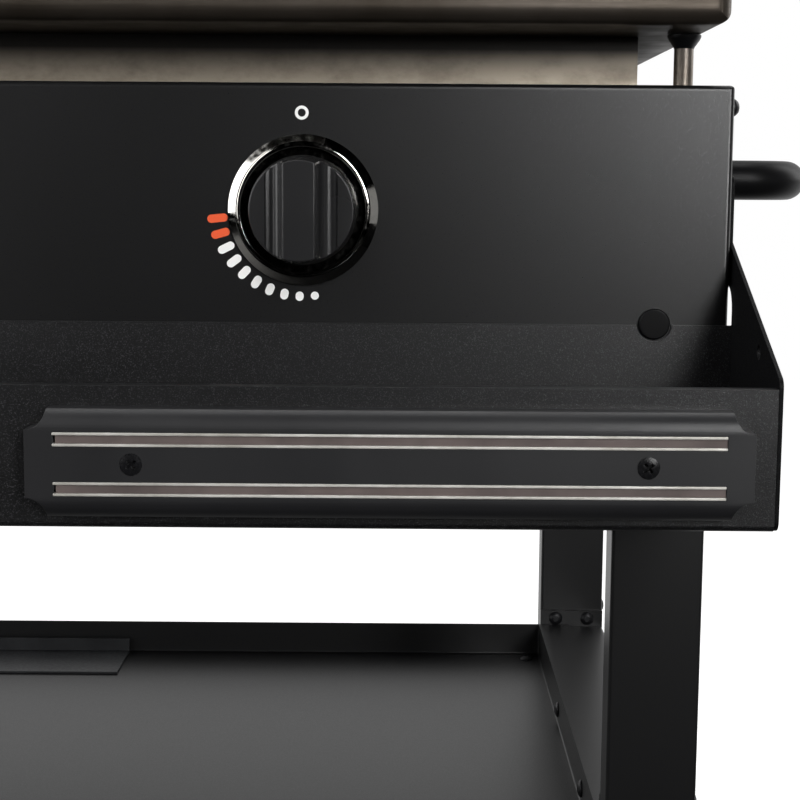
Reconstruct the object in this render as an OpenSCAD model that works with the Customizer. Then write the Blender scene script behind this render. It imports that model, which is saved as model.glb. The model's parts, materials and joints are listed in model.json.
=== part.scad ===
// Outdoor gas griddle station: a two-burner flat-top on a tube-steel cart, with a hood, a front
// tool shelf, a magnetic tool bar, a tray below, a lifting handle and two wheels.
// The front faces -Y, +X is to the right and +Z is up. Millimetres.

/* [Body] */
// Width across the control panel
body_w = 764; // [740:2:840]
// Depth from the control panel's face to the back of the rear panel
body_d = 530; // [520:2:580]
// Height of the sheet-metal body
body_h = 190; // [184:1:220]
// Height of the control panel's top edge above the floor
panel_top = 870; // [840:5:930]
// Thickness of the body's sheet steel
sheet_t = 1.5; // [1:0.1:2]
// Depth of the folds round the control panel and the rear panel
fold_d = 22; // [18:1:24]
// Outer radius of the body's bends
bend_r = 3; // [2.5:0.5:4]
// Depth of the pan of the heat shield
shield_h = 20; // [12:1:30]
// Height of the heat shield above the body's lower edge
shield_lift = 36; // [30:1:44]

/* [Front shelf] */
// Depth of the shelf in front of the control panel
shelf_d = 112; // [100:1:140]
// Distance from the panel's top edge down to the shelf's back wall
shelf_drop = 121; // [112:1:124]
// Height of the shelf's back wall
shelf_back_h = 84; // [76:1:96]
// Height of the shelf's front wall
shelf_lip_h = 65; // [58:1:70]
// Thickness of the shelf's sheet steel
shelf_t = 1.5; // [1:0.1:2]
// Depth of the hem along the top of the front wall
hem_d = 7; // [5:1:12]
// Thickness of the gussets at the shelf's ends
gusset_t = 2; // [1.5:0.5:3]
// Distance of the gusset's ear behind the panel's face
ear_front = 11.5; // [9:0.5:16]
// Width of the gusset's ear
ear_w = 56; // [54:1:58]
// Distance from the panel's top edge down to the top of the ear
ear_drop = 45; // [42:1:48]
// Distance from the panel's top edge down to the top of the gusset's slope
slope_drop = 79; // [76:1:84]
// Height of the gusset above the front wall, at the front
gusset_rise = 3.8; // [2:0.2:6]
// Radius of the round-topped window in the gusset
window_r = 13; // [8:1:14]
// Height of the window
window_h = 20; // [16:1:22]
// How far the window reaches in front of the panel's face
window_front = 0.5; // [0:0.5:3]
// Radius of the hook hole in the gusset
hook_r = 3.5; // [2.5:0.5:5]
// Distance of the hook hole in front of the panel's face
hook_y = 66.5; // [56:0.5:72]
// Distance from the panel's top edge down to the hook hole
hook_drop = 128; // [127:1:150]
// Distance of the shelf's large screws in from the body's sides
shelf_screw_in = 38; // [32:1:60]
// Head radius of the shelf's large screws
shelf_screw_r = 8; // [7:0.5:9]

/* [Tool bar] */
// Length of the magnetic bar
bar_l = 327; // [318:1:334]
// Height of the magnetic bar
bar_h = 48.5; // [46:0.5:56]
// Depth of the magnetic bar at its crown
bar_t = 14; // [13:0.5:18]
// How far the bar's face falls back from its crown to its edges
bar_crown = 5; // [3:0.5:6]
// Distance of the bar's right end in from the shelf's right end
bar_in = 10; // [6:0.5:36]
// Distance from the panel's top edge down to the middle of the bar
bar_drop = 173.5; // [170:0.5:176]
// Radius of the scooped corners
scoop_r = 9; // [3:0.5:10]
// Height of the flat band along the middle of the bar's face
bar_flat = 31; // [29:0.5:34]
// Distance between the middles of the two rows
row_pitch = 22.2; // [20:0.2:26]
// Length of the steel strips
strip_l = 297; // [280:1:308]
// Thickness of a steel strip
strip_t = 1.8; // [1.5:0.1:2.4]
// How far the steel strips stand proud of the crown
strip_proud = 0.5; // [0.2:0.1:1]
// Height of a magnet between two strips
magnet_h = 3.2; // [3:0.1:4]
// Depth of the channels, from the crown
channel_d = 8; // [6:0.5:9]
// Distance of the bar's screws from its ends
bar_screw_in = 49.5; // [30:0.5:80]
// Head radius of the bar's screws
bar_screw_r = 5; // [4:0.25:5.5]

/* [Knobs] */
// Distance of each knob from the centre
knob_x = 164.5; // [140:0.5:180]
// Distance from the panel's top edge down to the knobs
knob_drop = 63.7; // [60:0.1:68]
// Outer radius of the bezel
bezel_r = 38; // [36:0.5:41]
// Radius of the bezel's inner edge
bezel_in_r = 31.5; // [30:0.5:34]
// Height of the bezel's inner edge
bezel_h = 6; // [4:0.5:7]
// Radius of the knob at its back
knob_r = 27.6; // [26:0.2:28.6]
// Radius of the knob at the front of its grip
knob_top_r = 24.4; // [22:0.2:25.6]
// Height of the knob's rim above its back
knob_h = 14; // [11:0.5:16]
// Distance from the panel's face to the back of the knob
knob_gap = 6; // [5.5:0.5:7]
// Width of the grip across the knob
grip_w = 16; // [14:0.5:19]
// Height of the grip above the knob's rim
grip_h = 20; // [12:0.5:22]
// Radius of the scoops beside the grip
flank_r = 9; // [7.5:0.5:12]
// Depth of the scoops below the knob's rim
flank_d = 3; // [1:0.5:4]
// Distance the knob pushes in
push_travel = 4; // [3:0.5:4]
// Radius of the valve stem
stem_r = 4; // [3:0.25:5]
// Distance the stem stands out of the panel
stem_out = 22; // [18:0.5:24]

/* [Gas train] */
// Radius of the manifold pipe
manifold_r = 7; // [6:0.5:8]
// Distance of the manifold behind the panel's face
manifold_y = 34; // [32:1:36]
// Distance of the manifold's left end in from the body's side
manifold_in = 142; // [130:1:170]
// Radius of the inlet's flare thread
flare_r = 7.94; // [6:0.01:9]
// Length of the inlet's flare thread
flare_l = 14; // [10:1:18]
// Radius of a burner tube
burner_r = 12; // [10:0.5:14]
// Wall of a burner tube
burner_wall = 1; // [0.8:0.1:1.5]
// Distance between the two runs of a burner
burner_pitch = 84; // [70:2:100]
// Distance of the front of a burner's loop behind the panel's face
loop_front = 150; // [130:2:180]
// Distance of the back of a burner's loop in from the body's back
loop_back_in = 100; // [80:2:150]

/* [Griddle plate] */
// Distance of the griddle plate's sides in from the body's sides
plate_side_in = 2; // [0:0.5:10]
// Distance of the griddle plate's back in from the body's back
plate_back_in = 0; // [0:1:12]
// Thickness of the rolled steel
plate_t = 5; // [4:0.5:6]
// Height of the plate's underside above the panel's top edge
plate_lift = 30; // [26:1:40]
// Outer radius of the plate's bends
plate_r = 9; // [7:0.5:14]
// Height of the front wall from the plate's underside
front_wall_h = 30; // [24:1:34]
// Height of the rear wall from the plate's underside
rear_wall_h = 75; // [60:1:90]
// Length of the slope on the side walls
wall_slope = 150; // [100:5:200]
// Width of the grease outlet
outlet_w = 56; // [40:2:70]
// Height of the grease outlet
outlet_h = 14; // [10:1:16]
// Length of the grease chute behind the rear wall
chute_l = 46; // [40:1:54]
// Distance of the wind skirts in from the plate's edges
skirt_in = 38; // [36:1:44]
// Distance of the front wind skirt behind the panel's face
skirt_y = 76; // [73:1:90]
// Distance the wind skirts reach below the panel's top edge
skirt_drop = 6; // [4:1:12]
// Thickness of the wind skirts
skirt_t = 2; // [1.5:0.5:3]
// Radius of a levelling post
post_r = 5.2; // [4:0.2:6]
// Radius of a post's boss
boss_r = 9; // [7:0.5:11]
// Height of a post's boss
boss_h = 7; // [5:0.5:9]

/* [Hood] */
// Height of the hood above its rim
hood_h = 170; // [150:5:210]
// Thickness of the hood's sheet steel
hood_t = 1.5; // [1:0.1:2]
// Clearance between the hood and the plate's walls
hood_gap = 4; // [3.5:0.5:6]
// Radius of the hood's front top edge
hood_front_r = 80; // [60:2:90]
// Radius of the hood's rear top edge
hood_rear_r = 30; // [16:2:40]
// Length of the hood's handle
grip_l = 420; // [300:10:560]
// Radius of the hood's handle
grip_r = 11; // [9:0.5:14]
// Distance from the hood to the handle's centreline
grip_out = 45; // [36:1:55]
// Height of the handle above the hood's rim
grip_lift = 50; // [40:1:66]
// Distance of each hinge from the centre
hinge_x = 250; // [200:5:320]
// Radius of a hinge pin
pin_r = 4; // [3:0.25:5]
// Radius of a hinge knuckle
knuckle_r = 8; // [7:0.5:9]
// Width of a hinge knuckle
knuckle_w = 23; // [18:1:30]
// Distance of the hinge pin behind the hood
pin_back = 12.5; // [11:0.5:15]
// Height of the hinge pin above the hood's rim
pin_lift = 6; // [4:0.5:8]

/* [Legs and wheels] */
// Width of a leg, side to side
leg_w = 50.8; // [45:0.2:60]
// Thickness of a leg, front to back
leg_t = 25.4; // [24:0.2:30]
// Wall of a leg
leg_wall = 1.6; // [1.2:0.1:2.5]
// Distance of the front legs behind the panel's face
leg_front = 45; // [44:1:46]
// Distance from the front of the rear legs to the body's back
leg_rear_in = 50; // [48:1:54]
// Distance from the panel's top edge down to the tops of the legs
leg_drop = 22; // [18:1:26]
// Height of the right legs' lower ends above the floor
foot_h = 30; // [26:1:40]
// Radius of a foot's pad
foot_r = 19; // [16:1:22]
// Radius of a wheel
wheel_r = 89; // [75:1:100]
// Width of a wheel
wheel_w = 32; // [26:1:38]
// Thickness of the tyre
tyre_t = 14; // [10:1:18]
// Radius of the axle
axle_r = 6; // [5:0.5:8]
// Gap between a wheel and its leg
wheel_gap = 3; // [2:0.5:5]
// Distance from the axle to the left legs' lower ends
axle_up = 24; // [20:1:30]

/* [Lower shelf] */
// Distance from the panel's top edge down to the top of the tray
tray_drop = 411; // [380:1:460]
// Depth of the tray
tray_h = 25; // [20:1:26]
// Thickness of the tray's sheet steel
tray_t = 1.2; // [1:0.1:1.6]
// Gap between the tray's end walls and the legs
tray_gap = 2; // [1:0.5:6]
// Height of a side rail
rail_h = 24; // [20:1:30]
// Width of the tray's flange on each rail
flange_w = 24; // [16:1:34]
// Thickness of the rails' end plates and the legs' tabs
end_t = 3; // [2:0.5:4]
// Height that an end plate stands above and below its rail
end_lift = 13; // [12:0.5:16]
// Distance of the cylinder rest in from the tray's left wall
rest_in = 31.2; // [10:0.2:60]
// Length of the cylinder rest on the tray
rest_l = 292; // [200:2:300]
// Depth of the cylinder rest on the tray
rest_d = 61; // [50:1:80]

/* [Side handle] */
// Radius of the side handle's tube
handle_r = 11; // [9:0.5:13]
// Distance of the handle's front arm behind the panel's face
handle_y = 92; // [90:1:110]
// Distance from the panel's top edge down to the handle
handle_drop = 47; // [40:1:52]
// Distance from the side panel to the handle's centreline
handle_out = 52.5; // [45:0.5:70]
// Radius of the handle's bends
handle_bend = 30; // [24:1:40]
// Radius of the handle's flanges
flange_r = 20; // [18:1:22]

/* [Grease cup] */
// Width of the grease cup
cup_w = 84; // [78:2:110]
// Depth of the grease cup, front to back
cup_d = 78; // [60:2:90]
// Height of the grease cup
cup_h = 60; // [40:2:80]
// Thickness of the cup and its runners
cup_t = 1.2; // [1:0.1:2]
// Width of the cup's rim
rim_w = 8; // [6:0.5:10]

/* [Fasteners and fits] */
// Radius of a bolt's shank
bolt_r = 3; // [2.5:0.25:3.5]
// Head radius of a bolt
bolt_head_r = 5.5; // [5:0.25:6]
// Head height of a bolt
bolt_head_h = 3; // [2:0.25:3.5]
// Head radius of a body screw
screw_head_r = 4.5; // [4:0.25:5]
// Head height of a body screw
screw_head_h = 4; // [2.5:0.25:4.5]
// Shank radius of a body screw
screw_r = 2; // [1.5:0.25:2.5]
// Shank radius of a tray screw
tray_screw_r = 1.6; // [1.2:0.1:1.7]
// Radial clearance round a bolt
bolt_fit = 0.25; // [0.2:0.05:0.5]
// Radial clearance of a running fit
run_fit = 0.05; // [0.02:0.01:0.09]
// Clearance between parts that rest on each other but move apart
seat_gap = 0.3; // [0.25:0.05:0.4]

/* [Hidden] */
$fn = 48;

// Body planes
half_w = body_w / 2;
side_out = half_w + sheet_t;
gusset_out = side_out + gusset_t;
body_z = panel_top - body_h;
panel_mid_z = body_z + body_h / 2;
knob_z = panel_top - knob_drop;
// Tab of the side panel that lies behind the control panel's fold
tab_gap = 0.5;
tab_front = bend_r + tab_gap;
screw_in = 9;
screw_drop = 10.7;
// Front edge of the side panel's skin
skin_front = 14;
// Shelf planes
shelf_top_z = panel_top - shelf_drop;
shelf_z = shelf_top_z - shelf_back_h;
lip_z = shelf_z + shelf_lip_h;
ear_back = ear_front + ear_w;
ear_z = panel_top - ear_drop;
slope_z = panel_top - slope_drop;
gusset_corner_r = 5;
hook_z = panel_top - hook_drop;
shelf_screw_x = half_w - shelf_screw_in;
shelf_screw_z = shelf_top_z + 0.5;
shelf_screw_h = 2.5;
shelf_screw_end = 5;
notch_gap = 1;
// Tool bar planes
bar_z = panel_top - bar_drop;
bar_x = side_out - bar_in - bar_l;
bar_mid_x = bar_x + bar_l / 2;
crown_rise = (bar_h - bar_flat) / 2;
crown_r = (crown_rise * crown_rise + bar_crown * bar_crown) / (2 * bar_crown);
row_h = 2 * strip_t + magnet_h;
channel_end = 3;
channel_fit = 0.15;
strip_front = bar_t + strip_proud;
magnet_back = 1;
magnet_end = 1;
bar_screw_hole_r = 2.6;
// Knob and valve
bezel_rim_h = 1.5;
bezel_bore_r = 10;
bezel_floor = 1;
panel_hole_r = 12;
knob_bore_top = stem_out + push_travel + 1;
flat_depth = 1.2;
collar_r = 9;
collar_front = 8;
valve_front = 20;
valve_back = 46;
valve_half = 11;
stem_seat = 31;
nozzle_r = 5;
nozzle_l = 18;
manifold_z = knob_z - valve_half - manifold_r;
manifold_x = half_w - manifold_in;
manifold_right = knob_x + 30;
manifold_bore = manifold_r - 2;
hanger_x = 60;
hanger_t = 2;
inlet_z = body_z + 12;
fitting_hex_r = 11;
fitting_hex_h = 12;
// Burners
shield_z = body_z + shield_lift;
shield_t = 1;
shield_gap = 1;
shield_r = 3;
venturi_front = valve_back + nozzle_l - 4;
loop_back = body_d - loop_back_in;
port_w = 1.5;
port_l = 12;
port_pitch = 24;
support_t = 1.5;
support_in = 40;
// Griddle plate and posts
plate_w = body_w - 2 * plate_side_in;
plate_d = body_d - plate_back_in;
plate_z = panel_top + plate_lift;
plate_mid_y = plate_d / 2;
skirt_x = plate_w / 2 - skirt_in + 1;
skirt_back = plate_d - skirt_y;
leg_rear = body_d - leg_rear_in;
leg_top_z = panel_top - leg_drop;
leg_in = half_w - leg_w;
leg_mid_x = half_w - leg_w / 2;
post_x = half_w - 17;
boss_top_z = plate_z - seat_gap;
post_foot = 20;
nut_r = 8.5;
nut_h = 7;
chute_t = 3;
chute_lip = 12;
chute_drop = 14;
// Hood
rim_gap = 4;
hood_z = plate_z + front_wall_h + rim_gap;
hood_half_w = plate_w / 2 + hood_gap + hood_t;
hood_front = -(hood_gap + hood_t);
hood_back = plate_d + hood_gap + hood_t;
hood_len = hood_back - hood_front;
pin_y = hood_back + pin_back;
pin_z = hood_z + pin_lift;
ear_t = 3;
ear_gap = 0.5;
leaf_w = 40;
leaf_h = 46;
leaf_t = 3;
pin_end = 2;
stand_r = 8;
stand_foot_r = 13;
stand_foot_t = 3;
bumper_x = 300;
bumper_w = 18;
bumper_d = 12;
bumper_h = 10;
// Legs, feet and wheels
plug_t = 4;
leg_r = 2;
stud_r = 5;
pad_h = 12;
axle_z = wheel_r;
left_leg_z = axle_z - axle_up;
wheel_front_y = leg_front - wheel_gap - wheel_w;
wheel_rear_y = leg_rear + leg_t + wheel_gap;
cap_h = 8;
cap_r = 10;
axle_end = 5;
hub_r = 16;
disc_t = 10;
spoke_hole_r = 15;
spoke_holes = 6;
tyre_round = 5;
// Bolts into the legs, from the outside
body_bolt_drops = [60, 165];
joint_bolt_drop = 398;
// Tray and rails
tray_z = panel_top - tray_drop;
tray_floor_z = tray_z - tray_h;
rail_top_z = tray_z - tray_t;
rail_z = rail_top_z - rail_h;
rail_front = leg_front + leg_t;
end_z = rail_z - end_lift;
end_top_z = rail_top_z + end_lift;
end_bolt_x = 13;
end_bolt_in = 6.5;
tray_front = rail_front + tray_gap;
tray_back = leg_rear - tray_gap;
tray_under_z = tray_floor_z - tray_t;
tray_bolt_in = 80;
tray_bolt_pitch = 155;
tray_bolt_ys = [tray_front + tray_bolt_in, tray_front + tray_bolt_in + tray_bolt_pitch];
tray_bolt_z = tray_floor_z + bolt_head_r + 3;
tab_l = 26;
tab_d = 28;
tab_root = 5;
tab_bolt_in = 13;
tab_bolt_y = 16;
tab_bolt_ys = [tray_front + tab_bolt_y, tray_back - tab_bolt_y];
rest_x = -leg_in + rest_in;
rest_t = 2;
rest_lip = 12;
rest_back_gap = 4;
// Side handle
handle_x = side_out + handle_out;
handle_z = panel_top - handle_drop;
handle_back = body_d - handle_y;
handle_flange_t = 3;
handle_bolt_out = 15;
handle_bolt_r = 2;
handle_head_r = 3.5;
// Grease cup
runner_z = panel_top - 8;
runner_w = 12;
runner_h = 16;
cup_front = body_d + 6;
cup_side_gap = 1;
cup_r = 4;
tongue_w = 30;
tongue_h = 18;
// Outline of the whole station, which puts the origin under its middle
box_left = -(leg_mid_x + wheel_r);
box_right = handle_x + handle_r;
box_front = -(shelf_d + strip_front);
box_back = cup_front + cup_d + rim_w;
middle_x = (box_left + box_right) / 2;
middle_y = (box_front + box_back) / 2;

// ---- Shared shapes ----

module place() { translate([-middle_x, -middle_y, 0]) children(); }

module on_side(side) {
  if (side > 0) children();
  else mirror([1, 0, 0]) children();
}

module block(low, high) { translate(low) cube(high - low); }

module rod_x(r, from, to) { translate([from, 0, 0]) rotate([0, 90, 0]) cylinder(r = r, h = to - from); }

module rod_y(r, from, to) { translate([0, from, 0]) rotate([-90, 0, 0]) cylinder(r = r, h = to - from); }

module rod_z(r, from, to) { translate([0, 0, from]) cylinder(r = r, h = to - from); }

// A rectangle about the origin with round corners
module rounded(w, d, r) {
  square([w - 2 * r, d], center = true);
  square([w, d - 2 * r], center = true);
  for (x = [-1, 1], y = [-1, 1]) translate([x * (w / 2 - r), y * (d / 2 - r)]) circle(r);
}

// A rectangle that stands on the x axis, with its lower corners round
module round_bottom(w, h, r) {
  translate([-w / 2, r]) square([w, h - r]);
  translate([-w / 2 + r, 0]) square([w - 2 * r, h]);
  for (x = [-1, 1]) translate([x * (w / 2 - r), r]) circle(r);
}

// A block that stands on the origin, with its lower and upright edges round
module soft_block(w, d, h, r) {
  intersection() {
    linear_extrude(h) rounded(w, d, r);
    translate([0, d / 2, 0]) rotate([90, 0, 0]) linear_extrude(d) round_bottom(w, h, r);
    translate([-w / 2, 0, 0]) rotate([90, 0, 90]) linear_extrude(w) round_bottom(d, h, r);
  }
}

// A folded sheet-metal pan, open at the top
module pan(w, d, h, t, r) {
  difference() {
    soft_block(w, d, h, r);
    translate([0, 0, t]) soft_block(w - 2 * t, d - 2 * t, h, r - t);
  }
}

// A button-head bolt: the head rises from the origin and the shank goes down
module button_bolt(head_r, head_h, shank_r, shank_l) {
  dome = head_h * 0.75;
  dome_r = (head_r * head_r + dome * dome) / (2 * dome);
  difference() {
    rotate_extrude() intersection() {
      union() {
        translate([0, head_h - dome_r]) circle(dome_r, $fn = 96);
        translate([0, -shank_l]) square([shank_r, shank_l + dome]);
      }
      union() {
        square([head_r, head_h]);
        translate([0, -shank_l]) square([shank_r, shank_l]);
      }
    }
    translate([0, 0, head_h / 2]) cylinder(r = head_r * 0.45, h = head_h, $fn = 6);
  }
}

// A bolt whose head is on the +X side of a plane
module bolt_x(length) { rotate([0, 90, 0]) button_bolt(bolt_head_r, bolt_head_h, bolt_r, length); }

// A bolt whose head is on the -Y side of a plane
module bolt_front(length) { rotate([90, 0, 0]) button_bolt(bolt_head_r, bolt_head_h, bolt_r, length); }

// A bolt whose head is on the +Y side of a plane
module bolt_back(length) { rotate([-90, 0, 0]) button_bolt(bolt_head_r, bolt_head_h, bolt_r, length); }

// Heights of the bolts that go through a leg's outer wall
function leg_bolt_zs() = [for (drop = body_bolt_drops) panel_top - drop];

// Middle of a leg, front to back
function leg_mid_y(y) = y + leg_t / 2;

// Holes for the bolts that join the ear, the side panel and the leg
module leg_bolt_holes(y) {
  for (z = leg_bolt_zs()) translate([0, leg_mid_y(y), z])
    rod_x(bolt_r + bolt_fit, half_w - leg_wall - 1, gusset_out + 1);
}

// Positions of the body screws along the front and rear folds
function body_screw_ys() = [screw_in, body_d - screw_in];
function body_screw_zs(y) =
  y < body_d / 2 ? [panel_top - screw_drop] : [panel_top - screw_drop, body_z + screw_drop];

// ---- Body ----

module control_panel() {
  color("#1d1d1f") difference() {
    translate([0, 0, panel_mid_z]) rotate([-90, 0, 0]) pan(body_w, body_h, fold_d, sheet_t, bend_r);
    for (x = [-knob_x, knob_x]) translate([x, 0, knob_z]) rod_y(panel_hole_r, -1, sheet_t + 1);
    for (x = [-shelf_screw_x, shelf_screw_x]) translate([x, 0, shelf_screw_z])
      rod_y(bolt_r + bolt_fit, -1, sheet_t + 1);
    for (side = [-1, 1]) on_side(side) body_screw_holes(body_screw_ys()[0]);
  }
}

module body_screw_holes(y) {
  for (z = body_screw_zs(y)) translate([0, y, z])
    rod_x(screw_r + bolt_fit, half_w - 4 * sheet_t, side_out + 1);
}

module side_panel() {
  difference() {
    union() {
      block([half_w, skin_front, body_z], [side_out, body_d, panel_top]);
      translate([0, 0, body_z + tab_front]) linear_extrude(body_h - 2 * tab_front) {
        translate([half_w - 2 * sheet_t, fold_d + tab_gap]) square([2.5 * sheet_t, sheet_t]);
        translate([half_w - 2 * sheet_t, tab_front])
          square([sheet_t, fold_d + tab_gap + sheet_t - tab_front]);
      }
    }
    for (y = body_screw_ys()) body_screw_holes(y);
    for (y = [leg_front, leg_rear]) leg_bolt_holes(y);
    for (y = [handle_y, handle_back]) handle_bolt_holes(y);
  }
}

module side_panel_left() { color("#1d1d1f") on_side(-1) side_panel(); }

module side_panel_right() { color("#1d1d1f") on_side(1) side_panel(); }

module rear_panel() {
  color("#1d1d1f") difference() {
    translate([0, body_d, panel_mid_z]) rotate([90, 0, 0]) pan(body_w, body_h, fold_d, sheet_t, bend_r);
    for (side = [-1, 1]) on_side(side) body_screw_holes(body_screw_ys()[1]);
    for (x = runner_bolt_xs()) translate([x, 0, runner_z - runner_h / 2])
      rod_y(screw_r + bolt_fit, body_d - 4, body_d + 1);
  }
}

module body_screws() {
  color("#2a2a2c") {
    for (side = [-1, 1], y = body_screw_ys(), z = body_screw_zs(y)) on_side(side)
      translate([y < skin_front ? half_w : side_out, y, z]) rotate([0, 90, 0])
        button_bolt(screw_head_r, screw_head_h, screw_r, 2 * sheet_t + 3);
    for (x = runner_bolt_xs()) translate([x, body_d + cup_t, runner_z - runner_h / 2]) rotate([-90, 0, 0])
      button_bolt(screw_head_r, screw_head_h, screw_r, cup_t + sheet_t + 3);
  }
}

module heat_shield() {
  front = leg_front + leg_t + shield_gap;
  back = leg_rear - shield_gap;
  color("#9a9a98") translate([0, (front + back) / 2, shield_z])
    pan(body_w, back - front, shield_h, shield_t, shield_r);
}

// ---- Gas train ----

// The closed loop of a burner, its runs at x = -half and x = half
module burner_loop(r, half) {
  for (x = [-half, half]) translate([x, 0, 0]) rod_y(r, loop_front, loop_back);
  for (y = [loop_front, loop_back]) translate([0, y, 0]) rod_x(r, -half, half);
  for (x = [-half, half], y = [loop_front, loop_back]) translate([x, y, 0]) sphere(r);
}

module burner_at_origin() {
  half = burner_pitch / 2;
  inner_r = burner_r - burner_wall;
  difference() {
    union() {
      burner_loop(burner_r, half);
      rod_y(burner_r, venturi_front, loop_front);
    }
    burner_loop(inner_r, half);
    rod_y(inner_r, venturi_front - 1, loop_front);
    for (x = [-half, half], y = [loop_front + port_pitch : port_pitch : loop_back - port_pitch])
      translate([x - port_l / 2, y, inner_r / 2]) cube([port_l, port_w, burner_r]);
  }
}

module burner_left() { color("#b9b6b0") translate([-knob_x, 0, knob_z]) burner_at_origin(); }

module burner_right() { color("#b9b6b0") translate([knob_x, 0, knob_z]) burner_at_origin(); }

module burner_supports() {
  half = burner_pitch / 2;
  reach = knob_x + half + 2 * burner_r;
  foot_z = shield_z + shield_t;
  color("#9a9a98") for (y = [loop_front + support_in, loop_back - support_in]) difference() {
    block([-reach, y, foot_z], [reach, y + support_t, knob_z]);
    for (x = [-knob_x, knob_x], run = [-half, half]) translate([x + run, 0, knob_z])
      rod_y(burner_r + run_fit, y - 1, y + support_t + 1);
  }
}

module gas_manifold() {
  color("#8d8f91") difference() {
    union() {
      translate([0, manifold_y, manifold_z]) rod_x(manifold_r, -manifold_x, manifold_right);
      translate([-manifold_x, manifold_y, manifold_z]) sphere(manifold_r);
      translate([-manifold_x, manifold_y, 0]) rod_z(manifold_r, inlet_z, manifold_z);
      for (x = [-hanger_x, hanger_x])
        block([x, sheet_t, manifold_z - manifold_r], [x + hanger_t, manifold_y, manifold_z + manifold_r]);
    }
    translate([0, manifold_y, manifold_z]) rod_x(manifold_bore, -manifold_x, manifold_right - 3);
    translate([-manifold_x, manifold_y, manifold_z]) sphere(manifold_bore);
    translate([-manifold_x, manifold_y, 0]) rod_z(manifold_bore, inlet_z - 1, manifold_z);
  }
}

module gas_inlet_fitting() {
  hex_z = inlet_z - fitting_hex_h;
  color("#b5a05a") translate([-manifold_x, manifold_y, 0]) difference() {
    union() {
      translate([0, 0, hex_z]) cylinder(r = fitting_hex_r, h = fitting_hex_h, $fn = 6);
      rod_z(flare_r, hex_z - flare_l, hex_z);
    }
    rod_z(manifold_bore - 1, hex_z - flare_l - 1, inlet_z + 1);
  }
}

module valve_body_at_origin() {
  difference() {
    union() {
      block([-valve_half, valve_front, -valve_half - manifold_r], [valve_half, valve_back, valve_half]);
      rod_y(collar_r, collar_front, valve_front);
      rod_y(nozzle_r, valve_back, valve_back + nozzle_l);
    }
    rod_y(stem_r + run_fit, collar_front - 1, stem_seat);
    translate([0, manifold_y, manifold_z - knob_z])
      rod_x(manifold_r + run_fit, -2 * valve_half, 2 * valve_half);
    rod_y(nozzle_r / 5, valve_back + 1, valve_back + nozzle_l + 1);
  }
}

module valve_body_left() { color("#c2a75c") translate([-knob_x, 0, knob_z]) valve_body_at_origin(); }

module valve_body_right() { color("#c2a75c") translate([knob_x, 0, knob_z]) valve_body_at_origin(); }

module igniter_electrodes() {
  electrode_r = 3;
  electrode_y = loop_front + burner_r + electrode_r / 2;
  color("#e6e2d8") for (x = [-knob_x, knob_x]) translate([x, 0, knob_z]) {
    translate([0, 0, burner_r + electrode_r]) rod_y(electrode_r, venturi_front + 20, loop_front);
    translate([0, 0, burner_r + electrode_r]) rod_y(electrode_r / 3, loop_front, electrode_y);
    translate([0, electrode_y, 0]) rod_z(electrode_r / 3, electrode_r, burner_r + electrode_r);
  }
}

// ---- Knobs ----

module d_section(r) {
  difference() {
    circle(r);
    translate([-r, r - flat_depth]) square([2 * r, r]);
  }
}

module stem_at_origin() {
  rotate([90, 0, 0]) {
    translate([0, 0, -stem_seat + 1]) cylinder(r = stem_r, h = stem_seat - 1 - sheet_t);
    translate([0, 0, -sheet_t]) linear_extrude(stem_out + sheet_t) d_section(stem_r);
  }
}

module valve_stem_left() { color("#8d8f91") translate([-knob_x, 0, knob_z]) stem_at_origin(); }

module valve_stem_right() { color("#8d8f91") translate([knob_x, 0, knob_z]) stem_at_origin(); }

module bezel_at_origin() {
  rotate([90, 0, 0]) rotate_extrude($fn = 96) polygon([
    [bezel_bore_r, 0], [bezel_r, 0], [bezel_r, bezel_rim_h],
    [bezel_in_r, bezel_h], [bezel_in_r, bezel_floor], [bezel_bore_r, bezel_floor]
  ]);
}

module bezel_left() { color("#3b3c40") translate([-knob_x, 0, knob_z]) bezel_at_origin(); }

module bezel_right() { color("#3b3c40") translate([knob_x, 0, knob_z]) bezel_at_origin(); }

// The knob's body is a cone, cut away on each side of the grip by a scoop with an upright axis
module knob_at_origin() {
  rim_z = knob_gap + knob_h;
  half = grip_w / 2;
  scoop_z = rim_z - flank_d + flank_r;
  rotate([90, 0, 0]) difference() {
    translate([0, 0, knob_gap]) cylinder(r1 = knob_r, r2 = knob_top_r, h = knob_h + grip_h, $fn = 96);
    for (side = [-1, 1]) on_side(side) {
      block([half, -knob_r, rim_z], [knob_r + 1, knob_r, rim_z + grip_h + 1]);
      intersection() {
        translate([half + flank_r * 0.85, 0, scoop_z]) rod_y(flank_r, -knob_r, knob_r);
        block([half, -knob_r, rim_z - flank_d], [knob_r + 1, knob_r, rim_z + 1]);
      }
    }
    translate([0, 0, knob_gap - 1])
      linear_extrude(knob_bore_top - knob_gap + 1) d_section(stem_r + run_fit);
  }
}

module knob_left() { color("#141415") translate([-knob_x, 0, knob_z]) knob_at_origin(); }

module knob_right() { color("#141415") translate([knob_x, 0, knob_z]) knob_at_origin(); }

// ---- Front shelf ----

module shelf_section() {
  difference() {
    round_bottom(shelf_d, shelf_back_h, bend_r);
    translate([0, shelf_t]) round_bottom(shelf_d - 2 * shelf_t, shelf_back_h, bend_r - shelf_t);
    translate([-shelf_d, shelf_lip_h]) square([shelf_d, shelf_back_h]);
  }
  translate([-shelf_d / 2, shelf_lip_h - shelf_t]) square([hem_d, shelf_t]);
}

module shelf_pan() {
  color("#1d1d1f") difference() {
    translate([-side_out, -shelf_d / 2, shelf_z]) rotate([90, 0, 90])
      linear_extrude(2 * side_out) shelf_section();
    for (x = [-shelf_screw_x, shelf_screw_x]) translate([x, 0, shelf_screw_z])
      rod_y(shelf_screw_r + notch_gap, -shelf_t - 1, 1);
    bar_screw_holes();
  }
}

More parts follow.
